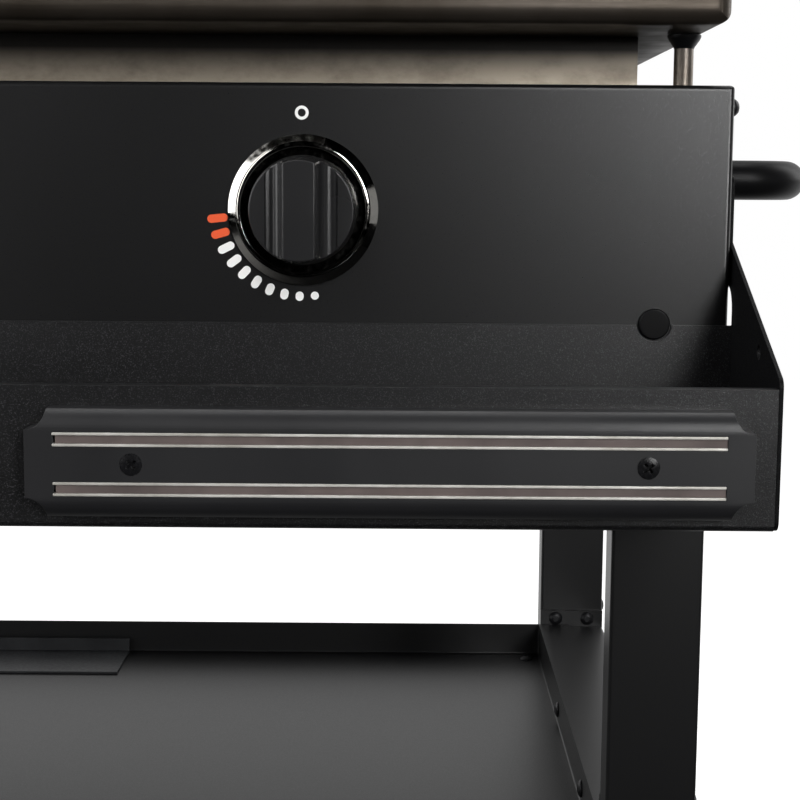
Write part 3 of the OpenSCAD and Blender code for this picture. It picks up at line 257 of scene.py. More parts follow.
def turned(name: str, profile: Points, place: Place, facing: Facing = Facing.UP,
           steps: int = 72) -> Piece:
    """Turns a profile on a lathe.

    Args:
        name: the new piece's name.
        profile: points of radius and height along the axis.
        place: where the axis starts.
        facing: where the axis points.
        steps: faces round the piece.

    Returns:
        The new piece.
    """
    piece = drawn_line(name, [Vector((r, 0, h)) * MM for r, h in profile])
    with editing(piece):
        bpy.ops.mesh.spin(steps=steps, angle=math.tau, center=(0, 0, 0), axis=(0, 0, 1))
        closed_up()
    return stood(piece, place, facing)


def extruded(name: str, outline: Points, depth: float, place: Place,
             facing: Facing = Facing.UP) -> Piece:
    """Pushes a closed outline out to a depth.

    Args:
        name: the new piece's name.
        outline: the outline's points.
        depth: how far it goes along the facing.
        place: where the outline's origin lies.
        facing: where it points.

    Returns:
        The new piece.
    """
    piece = drawn_line(name, [Vector((u, v, 0)) * MM for u, v in outline])
    with editing(piece):
        bpy.ops.mesh.edge_face_add()
        bpy.ops.mesh.extrude_region_move(TRANSFORM_OT_translate={"value": (0, 0, depth * MM)})
        closed_up()
    return stood(piece, place, facing)


def boxed(name: str, low: Place, high: Place) -> Piece:
    """Makes a block that is ready to be cut and eased.

    Args:
        name: the new piece's name.
        low: its lowest corner on the drawing.
        high: its highest corner.

    Returns:
        The new piece.
    """
    bpy.ops.object.select_all(action="DESELECT")
    bpy.ops.mesh.primitive_cube_add(size=1)
    piece = bpy.context.object
    piece.name = name
    piece.scale = (Vector(high) - Vector(low)) * MM
    return stood(piece, tuple((Vector(low) + Vector(high)) / 2))


def arc(centre: tuple[float, float], radius: float, start: float, end: float, steps: int = 8) -> Points:
    """Returns points along an arc from one angle to another, in degrees, both ends included."""
    turns = [math.radians(start + (end - start) * i / steps) for i in range(steps + 1)]
    return [(centre[0] + radius * math.cos(t), centre[1] + radius * math.sin(t)) for t in turns]


def cut(piece: Piece, *cutters: Piece) -> Piece:
    """Cuts a piece with others, which are used up.

    Args:
        piece: the piece to cut.
        cutters: the pieces to cut it with.

    Returns:
        The piece.
    """
    for cutter in cutters:
        modified(piece, "BOOLEAN", operation="DIFFERENCE", solver="EXACT", object=cutter)
        select_only(cutter)
        bpy.ops.object.delete()
    return piece


def joined(name: str, pieces: Sequence[Piece]) -> Piece:
    """Joins pieces into the first one.

    Args:
        name: the joined piece's name.
        pieces: the pieces.

    Returns:
        The joined piece.
    """
    select_only(pieces[0])
    for piece in pieces:
        piece.select_set(True)
    bpy.ops.object.join()
    pieces[0].name = name
    return pieces[0]


# ---- Finishes ----

WHITE = (1.0, 1.0, 1.0, 1.0)
# Numbers of the Mix node's colour sockets, which share their names with its other sockets
MIX_UNDER, MIX_OVER, MIX_RESULT = 6, 7, 2


def linear(hex_colour: str) -> tuple[float, float, float, float]:
    """Returns the linear red, green, blue and full alpha of an sRGB hex colour."""
    parts = [int(hex_colour[i:i + 2], 16) / 255 for i in (1, 3, 5)]
    return (*[c / 12.92 if c <= 0.04045 else ((c + 0.055) / 1.055) ** 2.4 for c in parts], 1.0)


def add_node(tree: Tree, kind: str, inputs: dict | None = None, **settings: Any) -> bpy.types.Node:
    """Adds a node with its settings and links.

    Args:
        tree: the node tree.
        kind: the node's type.
        inputs: a value, or a socket that feeds it, for each input by name or number.
        settings: the node's own settings.

    Returns:
        The new node.
    """
    node = tree.nodes.new(kind)
    for key, value in settings.items():
        setattr(node, key, value)
    for key, value in (inputs or {}).items():
        if isinstance(value, Socket):
            tree.links.new(value, node.inputs[key])
        else:
            node.inputs[key].default_value = value
    return node


def emptied(owner: bpy.types.Material | bpy.types.World) -> Tree:
    """Returns the node tree of a material or world, with all its nodes taken out."""
    owner.use_nodes = True
    owner.node_tree.nodes.clear()
    return owner.node_tree


@dataclass(frozen=True)
class Grain:
    """An uneven pattern fixed to the piece, with features of a size in millimetres."""

    size: float
    stretch: Place = (1, 1, 1)
    detail: float = 2
    rough: float = 0.5

    def drawn(self, tree: Tree) -> Socket:
        """Returns the drawn pattern's socket, from 0 to 1."""
        coords = add_node(tree, "ShaderNodeTexCoord")
        mapping = add_node(tree, "ShaderNodeMapping", {"Vector": coords.outputs["Object"],
                                                       "Scale": [1 / s for s in self.stretch]})
        texture = add_node(tree, "ShaderNodeTexNoise",
                           {"Vector": mapping.outputs["Vector"], "Scale": 1 / (self.size * MM),
                            "Detail": self.detail, "Roughness": self.rough})
        return texture.outputs["Fac"]


@dataclass(frozen=True)
class Height:
    """A pattern that rises with the height above the floor, in metres."""

    def drawn(self, tree: Tree) -> Socket:
        """Returns the height's socket."""
        coords = add_node(tree, "ShaderNodeTexCoord")
        return add_node(tree, "ShaderNodeSeparateXYZ", {"Vector": coords.outputs["Object"]}).outputs["Z"]


@dataclass(frozen=True)
class Layer:
    """One change that a pattern makes to a surface, over a stretch of the pattern's values."""

    pattern: Grain | Height
    over: tuple[float, float]

    def spread(self, tree: Tree, pattern: Socket, start: float, end: float) -> Socket:
        """Returns a socket that goes from start to end over the stretch and stays there."""
        return add_node(tree, "ShaderNodeMapRange",
                        {"Value": pattern, "From Min": self.over[0], "From Max": self.over[1],
                         "To Min": start, "To Max": end}).outputs["Result"]

    def lay(self, tree: Tree, shader: bpy.types.Node, pattern: Socket) -> None:
        """Lays the layer on a shader, over what the shader has."""


@dataclass(frozen=True)
class Tint(Layer):
    """Another colour that covers up to a share of the one below."""

    share: float
    colour: str

    def lay(self, tree: Tree, shader: bpy.types.Node, pattern: Socket) -> None:
        """Mixes the colour into the shader's base colour."""
        base = shader.inputs["Base Color"]
        below = base.links[0].from_socket if base.is_linked else tuple(base.default_value)
        mix = add_node(tree, "ShaderNodeMix", {"Factor": self.spread(tree, pattern, 0, self.share),
                                               MIX_UNDER: below, MIX_OVER: linear(self.colour)},
                       data_type="RGBA")
        tree.links.new(mix.outputs[MIX_RESULT], base)


@dataclass(frozen=True)
class Gloss(Layer):
    """A rise or fall of the roughness, from one end of the stretch to the other."""

    start: float
    end: float

    def lay(self, tree: Tree, shader: bpy.types.Node, pattern: Socket) -> None:
        """Varies the shader's roughness about its plain value."""
        rough = shader.inputs["Roughness"]
        plain = rough.default_value
        tree.links.new(self.spread(tree, pattern, plain + self.start, plain + self.end), rough)


@dataclass(frozen=True)
class Relief(Layer):
    """Hills too low for the mesh, of a height in millimetres."""

    over: tuple[float, float] = (0, 1)
    height: float = 0.01

    def lay(self, tree: Tree, shader: bpy.types.Node, pattern: Socket) -> None:
        """Tilts the shader's normal."""
        bump = add_node(tree, "ShaderNodeBump", {"Height": pattern, "Strength": 1.0,
                                                 "Distance": self.height * MM})
        tree.links.new(bump.outputs["Normal"], shader.inputs["Normal"])


@dataclass(frozen=True)
class Finish:
    """A surface's name, the record's slot that it paints, its colour and its gloss."""

    title: str
    slot: str
    colour: str
    roughness: float
    metallic: float = 0.0
    specular: float = 0.5

    def material(self) -> bpy.types.Material:
        """Makes the finish's material once.

        Returns:
            The material.
        """
        made = bpy.data.materials.get(self.title)
        if made is None:
            made = bpy.data.materials.new(self.title)
            tree = emptied(made)
            shader = add_node(tree, "ShaderNodeBsdfPrincipled",
                              {"Base Color": linear(self.colour), "Roughness": self.roughness,
                               "Metallic": self.metallic, "Specular IOR Level": self.specular})
            add_node(tree, "ShaderNodeOutputMaterial", {"Surface": shader.outputs["BSDF"]})
            drawn = {}
            for layer in self.layers():
                if layer.pattern not in drawn:
                    drawn[layer.pattern] = layer.pattern.drawn(tree)
                layer.lay(tree, shader, drawn[layer.pattern])
        return made

    def layers(self) -> list[Layer]:
        """Returns what lies over the plain colour and gloss, from the bottom up."""
        return []


@dataclass(frozen=True)
class PowderCoat(Finish):
    """Baked polyester powder on steel: a dull black skin, with painted highlight specks where its grit would
    catch the light.

    Real grit is finer than the picture can show, so it is drawn as coarse as it needs to show.
    """

    grit: float = 0.5
    depth: float = 0.05
    # The fleck colour and share paint highlight specks on the grit; the same colour tints the slow drift of
    # tone
    glint_and_drift_colour: str = "#4a4a4c"
    painted_glint_share: float = 0.3
    drift: float = 0.06

    def layers(self) -> list[Layer]:
        """Returns a slow change of tone, then the painted highlight specks on the grit, its gloss and
        relief.
        """
        grit = Grain(self.grit, detail=1.5, rough=0.7)
        return [Tint(Grain(90, detail=3), (0.3, 0.7), self.drift, self.glint_and_drift_colour),
                # The grit's high spots are painted light, as highlight specks
                Tint(grit, (0.56, 0.72), self.painted_glint_share, self.glint_and_drift_colour),
                Gloss(grit, (0.35, 0.7), 0.05, -0.06),
                Relief(grit, height=self.depth)]


@dataclass(frozen=True)
class MouldedPlastic(Finish):
    """Injection-moulded plastic: the tool's fine spark texture or polish, with faint flow marks.

    The real texture is finer than this one, which is drawn as coarse as it needs to show.
    """

    grain: float = 0.35
    depth: float = 0.006

    def layers(self) -> list[Layer]:
        """Returns the flow marks and the tool's grain."""
        return [Gloss(Grain(45, stretch=(1, 1, 3), detail=3), (0.3, 0.7), -0.03, 0.05),
                Relief(Grain(self.grain), height=self.depth)]


@dataclass(frozen=True)
class WroughtMetal(Finish):
    """Rolled, drawn or plated metal: fine lines along the working direction and a change of tone.

    The lines are drawn as coarse as they need to show.
    """

    tone: str = "#808080"
    stretch: Place = (40, 1, 1)
    line: float = 0.7
    patch: float = 60
    depth: float = 0.004

    def layers(self) -> list[Layer]:
        """Returns patches of another tone, then the lines' tone, gloss and relief."""
        lines = Grain(self.line, self.stretch, detail=3)
        return [Tint(Grain(self.patch, detail=4, rough=0.6), (0.35, 0.68), 1, self.tone),
                Tint(lines, (0.3, 0.75), 0.4, self.tone),
                Gloss(lines, (0.3, 0.7), -0.06, 0.08),
                Relief(lines, height=self.depth)]


@dataclass(frozen=True)
class ShadedBareSteel(Finish):
    """Bare steel beside a flame, mottled by scale, with painted shade that darkens it toward its high edge.

    The rolling lines are drawn coarser than real ones, so that they show.
    """

    # Colour of the painted shade at the high edge, under the plate
    shade_colour: str = "#1c1815"
    stain: str = "#5f5448"
    low: float = 0.0
    high: float = 1.0

    def layers(self) -> list[Layer]:
        """Returns the mottle, the painted shade darkening from the low to the high edge, and the rolling
        lines.
        """
        mottle = Grain(16, stretch=(1.6, 1, 1), detail=5, rough=0.65)
        return [Tint(mottle, (0.42, 0.7), 0.45, self.stain),
                # Painted shade: darker from the low edge up to the high edge, under the plate
                Tint(Height(), (self.low * MM, self.high * MM), 1, self.shade_colour),
                Gloss(mottle, (0.3, 0.7), -0.06, 0.1),
                Relief(Grain(0.9, stretch=(8, 1, 1)), height=0.01)]


@dataclass(frozen=True)
class CastRubber(Finish):
    """Moulded rubber: a dull skin with dusty patches, and pores drawn coarser than real ones."""

    dust: str = "#3a3936"

    def layers(self) -> list[Layer]:
        """Returns the dust and the skin's pores."""
        return [Tint(Grain(14, detail=5, rough=0.7), (0.5, 0.8), 0.5, self.dust),
                Relief(Grain(0.6), height=0.02)]


@dataclass(frozen=True)
class PrintedInk(Finish):
    """Screen-printed enamel: flat, opaque and slightly uneven where the coat below is gritty."""

    thin: str = "#c9c9c7"

    def layers(self) -> list[Layer]:
        """Returns the thinner spots."""
        return [Tint(Grain(0.7, detail=3), (0.55, 0.8), 0.5, self.thin)]


# Shelf pan: coarse grit that sparkles in the light, with painted highlight specks added to the sparkle
SANDY_BLACK = PowderCoat("sandy_powder_coat", "textured_black", "#080809", 0.34, grit=0.5, depth=0.085,
                         glint_and_drift_colour="#8a8a8e", painted_glint_share=0.25, drift=0.01)
# Panel and body sheets: a satin black with hardly any grit
FINE_BLACK = PowderCoat("fine_powder_coat", "textured_black", "#080809", 0.33, grit=0.6, depth=0.03,
                        glint_and_drift_colour="#2b2b2d", painted_glint_share=0.3)
# Legs, rails and tray: the smoothest of the coats, with a soft sheen along the tubes
TUBE_BLACK = PowderCoat("tube_powder_coat", "textured_black", "#0c0c0d", 0.38, grit=0.6, depth=0.012,
                        glint_and_drift_colour="#232325", painted_glint_share=0.25)
# Side handle: smooth and deep black, with one dim highlight along the bend
HANDLE_BLACK = PowderCoat("handle_powder_coat", "handle_black", "#101011", 0.38, specular=0.11, grit=0.6,
                          depth=0.008, glint_and_drift_colour="#1c1c1e", painted_glint_share=0.2)
# Hood: dull black, with no glare on the large top
HOOD_BLACK = PowderCoat("hood_powder_coat", "textured_black", "#101011", 0.5, specular=0.25, grit=0.6,
                        depth=0.03, glint_and_drift_colour="#2b2b2d", painted_glint_share=0.3)
# Gussets: sheared sheet with a thin, dull coat, dark on its edges too
GUSSET_BLACK = PowderCoat("gusset_powder_coat", "textured_black", "#0a0a0b", 0.5, specular=0.08, grit=0.5,
                          depth=0.05, glint_and_drift_colour="#4a4a4d", painted_glint_share=0.2, drift=0.01)
# Bolts, brackets and leaves: oiled black oxide, dark with a faint metal sheen
BOLT_BLACK = WroughtMetal("black_oxide", "bolt_black", "#141416", 0.38, 0.4, tone="#202023",
                          stretch=(1, 1, 1), line=1.2)
# Tool bar's screws: blackened, with a sharp rim of light
SCREW_BLACK = WroughtMetal("blackened_screw", "bolt_black", "#0b0b0c", 0.24, 0.0, 0.35, tone="#131315",
                           stretch=(1, 1, 1), line=1.2)
# Shelf's large screw heads: smooth black paint that shows as a flat disc
CAP_BLACK = MouldedPlastic("painted_screw_head", "bolt_black", "#0a0a0b", 0.3, specular=0.12)
# Cylinder rest: phosphated sheet, a cloudy dark grey
REST_STEEL = WroughtMetal("phosphated_plate", "textured_black", "#3c3d3f", 0.4, 0.5, tone="#2e2f31",
                          stretch=(1, 1, 1), line=2.5, patch=30)
# Tool bar's housing: spark-textured ABS, a soft dark grey
BAR_PLASTIC = MouldedPlastic("spark_textured_abs", "bar_black", "#1c1c1e", 0.42, grain=0.55, depth=0.02)
# Knobs: polished phenolic, with clear highlights along the grip
KNOB_PLASTIC = MouldedPlastic("polished_phenolic", "knob_black", "#232324", 0.26, grain=2.5, depth=0.002)
# Bezels: mirror chrome that shows the dark room and its lamps
DARK_CHROME = WroughtMetal("smoked_chrome", "dark_chrome", "#bab8b3", 0.07, 1.0, tone="#a8a6a2",
                           stretch=(1, 1, 1), line=3, depth=0.0004)
# Tool bar's strips: ground mild steel, bright and brushed lengthwise
STRIP_STEEL = WroughtMetal("ground_strip_steel", "strip_steel", "#efede8", 0.42, 0.5, tone="#b9b6ae",
                           stretch=(60, 1, 1), line=0.5, patch=25)
# Magnets: bonded ferrite, a dull purplish brown
MAGNET = WroughtMetal("bonded_ferrite", "magnet_brown", "#665a57", 0.55, 0.0, tone="#4c4240",
                      stretch=(90, 1, 1), line=0.6, patch=30, depth=0.02)
# Plate: oiled hot-rolled steel, a warm brown-grey in slow patches
ROLLED_STEEL = WroughtMetal("oiled_rolled_steel", "rolled_steel", "#5c554e", 0.42, 0.8, tone="#443d35",
                            stretch=(30, 30, 1), line=0.8, patch=70, depth=0.01)
# Heat shield, cup and supports: aluminised sheet, pale and spangled
ALUMINISED = WroughtMetal("aluminised_sheet", "aluminised_steel", "#9fa0a0", 0.42, 0.9, tone="#7f8182",
                          stretch=(1, 1, 1), line=2.5, patch=20)
# Burners: drawn stainless tube, straw-coloured from the flame
BURNER_STEEL = WroughtMetal("stainless_tube", "burner_steel", "#a8a49c", 0.34, 1.0, tone="#7b6f60",
                            stretch=(1, 12, 1), line=0.8)
# Posts, axle, pins and pipe: zinc plate, a dim grey with upright streaks
PLATED = WroughtMetal("bright_zinc", "plated_steel", "#857e77", 0.42, 1.0, tone="#6c645b",
                      stretch=(1, 1, 8), line=0.8, patch=12)
# Valves and inlet: machined brass, a bright yellow with a fine grain
BRASS = WroughtMetal("machined_brass", "fitting_brass", "#b9964f", 0.3, 1.0, tone="#8d6f38",
                     stretch=(1, 1, 1), line=1.0)
# Electrodes: glazed ceramic, glossy and off-white
CERAMIC = MouldedPlastic("glazed_ceramic", "ceramic", "#e9e4d8", 0.22, grain=1.5, depth=0.004)
# Axle caps: moulded polypropylene, a plain dull black
CAP_PLASTIC = MouldedPlastic("cap_polypropylene", "cap_black", "#1a1a1b", 0.45)
# Wheels: textured polypropylene, a little lighter than the tyres
WHEEL_PLASTIC = MouldedPlastic("wheel_polypropylene", "wheel_plastic", "#242426", 0.42, grain=0.8,
                               depth=0.02)
# Tyres: dull black rubber with dust in its skin
TYRE_RUBBER = CastRubber("tyre_rubber", "tyre_rubber", "#151515", 0.72)
# Feet and bumpers: the same rubber, slightly greyer
FOOT_RUBBER = CastRubber("foot_rubber", "foot_rubber", "#1b1b1b", 0.66)
# Hood handle: stainless tube, brushed along its length
HANDLE_STEEL = WroughtMetal("brushed_stainless", "handle_steel", "#c4c3c0", 0.28, 1.0, tone="#a3a29f",
                            stretch=(40, 1, 1), line=0.6)
# Dial marks: opaque enamel, white for low heat and orange for high
WHITE_INK = PrintedInk("white_enamel", "", "#fafaf8", 0.5, thin="#e6e6e4")
ORANGE_INK = PrintedInk("orange_enamel", "", "#ee5a28", 0.5, thin="#d94f22")


def fitted(piece: Piece, body: str, finish: Finish, *nodes: str) -> Piece:
    """Gives a piece its finish and its body.

    Args:
        piece: the finished piece.
        body: the CAD body that carries it.
        finish: its finish.
        nodes: the CAD nodes that it stands for.

    Returns:
        The piece.
    """
    piece.data.materials.clear()
    piece.data.materials.append(finish.material())
    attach(piece, body)
    if nodes:
        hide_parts(*nodes)
    log.info("%s rides on %s, %d faces", piece.name, body, len(piece.data.polygons))
    return piece


def dressed(node: str, finish: Finish, edge: float = 0.35, segments: int = 2) -> Piece:
    """Makes a finished piece from a CAD node: merged, with flat faces whole and sharp edges eased.

    Args:
        node: the CAD node.
        finish: its finish.
        edge: width of the rounding along its sharp edges, in millimetres.
        segments: faces across the rounding.

    Returns:
        The piece, which replaces the node.
    """
    source = frame["nodes"][node]
    body = source["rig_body"]
    select_only(source)
    bpy.ops.object.duplicate(linked=False)
    bpy.ops.object.parent_clear(type="CLEAR")
    piece = bpy.context.object
    piece.name = f"{node}_finished"
    for key in list(piece.keys()):
        del piece[key]
    eased(cleaned(piece), edge, segments)
    return fitted(piece, body, finish, node)


# ---- Control panel, bezels and knobs ----


@dataclass
class Body:
    """The sheet-metal body: panel, sides, rear and heat shield."""

    panel_edge: float = 0.5
    sheet_edge: float = 0.4

    def build(self) -> None:
        """Dresses the sheets and the screws that hold them."""
        dressed("control_panel", FINE_BLACK, edge=self.panel_edge)
        dressed("rear_panel", FINE_BLACK, edge=self.panel_edge)
        for side in ("left", "right"):
            dressed(f"side_panel_{side}", FINE_BLACK, edge=self.sheet_edge)
        dressed("heat_shield", ALUMINISED, edge=self.sheet_edge)
        dressed("body_screws", BOLT_BLACK, edge=0.25)


@dataclass
class Dial:
    """One burner's control: bezel, knob and the printed scale round them."""

    side: str
    bezel_height: float = 6.0
    bezel_inner: float = 31.5
    bezel_wall: float = 2.7
    bezel_round: float = 0.7
    bezel_tilt: float = 40.0
    bezel_hole: float = 10.0
    bezel_sheet: float = 1.0
    crest_r: float = 4.0
    knob_back: float = 6.0
    knob_rim: float = 20.0
    knob_front: float = 40.0
    knob_back_r: float = 27.6
    knob_front_r: float = 24.4
    knob_crown: float = 0.5
    knob_edge: float = 0.8
    bore_r: float = 4.05
    bore_end: float = 27.0
    grip_half: float = 8.0
    scoop_r: float = 5.6
    scoop_x: float = 15.15
    scoop_lift: float = 15.0
    off_height: float = 48.7
    off_side: float = -0.8
    off_r: float = 3.5
    off_stroke: float = 1.5
    mark_circle: float = 43.9
    mark_width: float = 4.15
    mark_longest: float = 10.4
    mark_least: float = 0.01
    mark_count: int = 10
    hot_marks: int = 2
    mark_start: float = 185.8
    mark_step: float = 10.2
    ink: float = 0.08

    def build(self) -> None:
        """Makes the bezel, the knob and the scale."""
        low, high = drawing_box(f"bezel_{self.side}")
        self.place = ((low.x + high.x) / 2, 0.0, (low.z + high.z) / 2)
        self.bezel_r = (high.x - low.x) / 2
        self.make_bezel()
        self.make_knob()
        self.print_scale()
        dressed(f"valve_stem_{self.side}", PLATED, edge=0.2)

    def make_bezel(self) -> None:
        """Turns the pressed ring: a cone that bends over a wide crest into a rolled inner edge."""
        crest_x = self.bezel_inner + self.bezel_round
        crest = arc((crest_x, self.bezel_height - self.crest_r), self.crest_r, 90 - self.bezel_tilt, 90, 16)
        inner = arc((crest_x, self.bezel_height - self.bezel_round), self.bezel_round, 90, 180)
        profile = [(self.bezel_hole, 0), (self.bezel_r, 0), (self.bezel_r, self.bezel_wall), *crest,
                   *inner[1:], (self.bezel_inner, self.bezel_sheet), (self.bezel_hole, self.bezel_sheet),
                   (self.bezel_hole, 0)]
        ring = turned(f"bezel_{self.side}_ring", profile, self.place, Facing.FRONT, steps=160)
        smoothed(ring, angle=30)
        fitted(ring, "cart", DARK_CHROME, f"bezel_{self.side}")

    def knob_radius(self, height: float) -> float:
        """Returns the radius of the knob's cone at a distance in front of the panel."""
        share = (height - self.knob_back) / (self.knob_front - self.knob_back)
        return self.knob_back_r + (self.knob_front_r - self.knob_back_r) * share

    def make_knob(self) -> None:
        """Turns the knob's cone and cuts a scoop on each side of the grip."""
        profile = [(0, self.bore_end), (self.bore_r, self.bore_end), (self.bore_r, self.knob_back),
                   (self.knob_back_r, self.knob_back), (self.knob_radius(self.knob_rim), self.knob_rim),
                   (self.knob_front_r + 0.1, self.knob_front - self.knob_crown), (0, self.knob_front)]
        knob = turned(f"knob_{self.side}_moulding", profile, self.place, Facing.FRONT, steps=144)
        lift = math.radians(self.scoop_lift)
        run, rise = 2 * self.scoop_r * math.sin(lift), 2 * self.scoop_r * math.cos(lift)
        scoop_z = self.knob_rim - self.scoop_r + rise
        floor = [*arc((self.scoop_x, scoop_z), self.scoop_r, 175, 270 + self.scoop_lift, 24),
                 *arc((self.scoop_x + run, scoop_z - rise), self.scoop_r, 90 + self.scoop_lift, 90, 6)[1:]]
        x, _, z = self.place
        top, out = self.knob_front + OVERCUT, self.knob_back_r + OVERCUT
        half = out + OVERCUT
        for side in (-1, 1):
            outline = [(self.grip_half, top), (self.grip_half, self.knob_front), *floor,
                       (out, self.knob_rim), (out, top)]
            cut(knob, extruded("scoop", [(side * u, v) for u, v in outline], 2 * half, (x, 0, z + half),
                               Facing.DOWN))
        eased(cleaned(knob, FINE_MERGE), self.knob_edge, segments=4, angle=25, clamp=False)
        fitted(knob, f"knob_{self.side}", KNOB_PLASTIC, f"knob_{self.side}")

    def print_scale(self) -> None:
        """Prints the ring over the knob and the marks below it, which shrink toward low heat."""
        x, _, z = self.place
        half = self.ink / 2
        inner = self.off_r - self.off_stroke
        ring = turned(f"off_ring_{self.side}",
                      [(inner, -half), (self.off_r, -half), (self.off_r, half), (inner, half),
                       (inner, -half)], (x + self.off_side, 0, z + self.off_height), Facing.FRONT, steps=48)
        fitted(ring, "cart", WHITE_INK)
        for finish, marks in ((ORANGE_INK, range(self.hot_marks)),
                              (WHITE_INK, range(self.hot_marks, self.mark_count))):
            pills = [self.pill(i) for i in marks]
            scale = joined(f"{finish.title}_marks_{self.side}", pills)
            fitted(scale, "cart", finish)

    def pill(self, index: int) -> Piece:
        """Makes one mark of the scale.

        Args:
            index: its number, from the hottest.

        Returns:
            The mark.
        """
        shrink = (self.mark_longest - self.mark_width) / (self.mark_count - 1)
        half = (self.mark_longest - shrink * index - self.mark_width) / 2
        radius = self.mark_width / 2
        reach = half + self.mark_least
        outline = [*arc((reach, 0), radius, -90, 90, 10), *arc((-reach, 0), radius, 90, 270, 10)]
        angle = math.radians(self.mark_start + self.mark_step * index)
        turn = Matrix.Rotation(angle, 2)
        spun = [tuple(turn @ Vector(p)) for p in outline]
        x, _, z = self.place
        return extruded("mark", spun, self.ink,
                        (x + self.mark_circle * math.cos(angle), self.ink / 2,
                         z + self.mark_circle * math.sin(angle)), Facing.FRONT)


# ---- Front shelf and tool bar ----


@dataclass
class Shelf:
    """The front shelf with its gussets and large screws."""

    screw_r: float = 8.0
    screw_h: float = 2.5
    screw_round: float = 1.0
    sheet_edge: float = 0.45

    def build(self) -> None:
        """Dresses the sheets and makes the screws."""
        dressed("shelf_pan", SANDY_BLACK, edge=self.sheet_edge, segments=3)
        for side in ("left", "right"):
            dressed(f"gusset_{side}", GUSSET_BLACK, edge=self.sheet_edge, segments=3)
        low, high = drawing_box("shelf_screws")
        mid_z = (low.z + high.z) / 2
        heads = []
        for x in (low.x + self.screw_r, high.x - self.screw_r):
            top = arc((self.screw_r - self.screw_round, self.screw_h - self.screw_round),
                      self.screw_round, 0, 90, 6)
            profile = [(0, 0), (self.screw_r, 0), (self.screw_r, self.screw_h / 2), *top,
                       (0, self.screw_h)]
            heads.append(turned("head", profile, (x, 0, mid_z), Facing.FRONT))
        screws = joined("shelf_screws_heads", heads)
        smoothed(screws, angle=50)
        fitted(screws, "cart", CAP_BLACK, "shelf_screws")


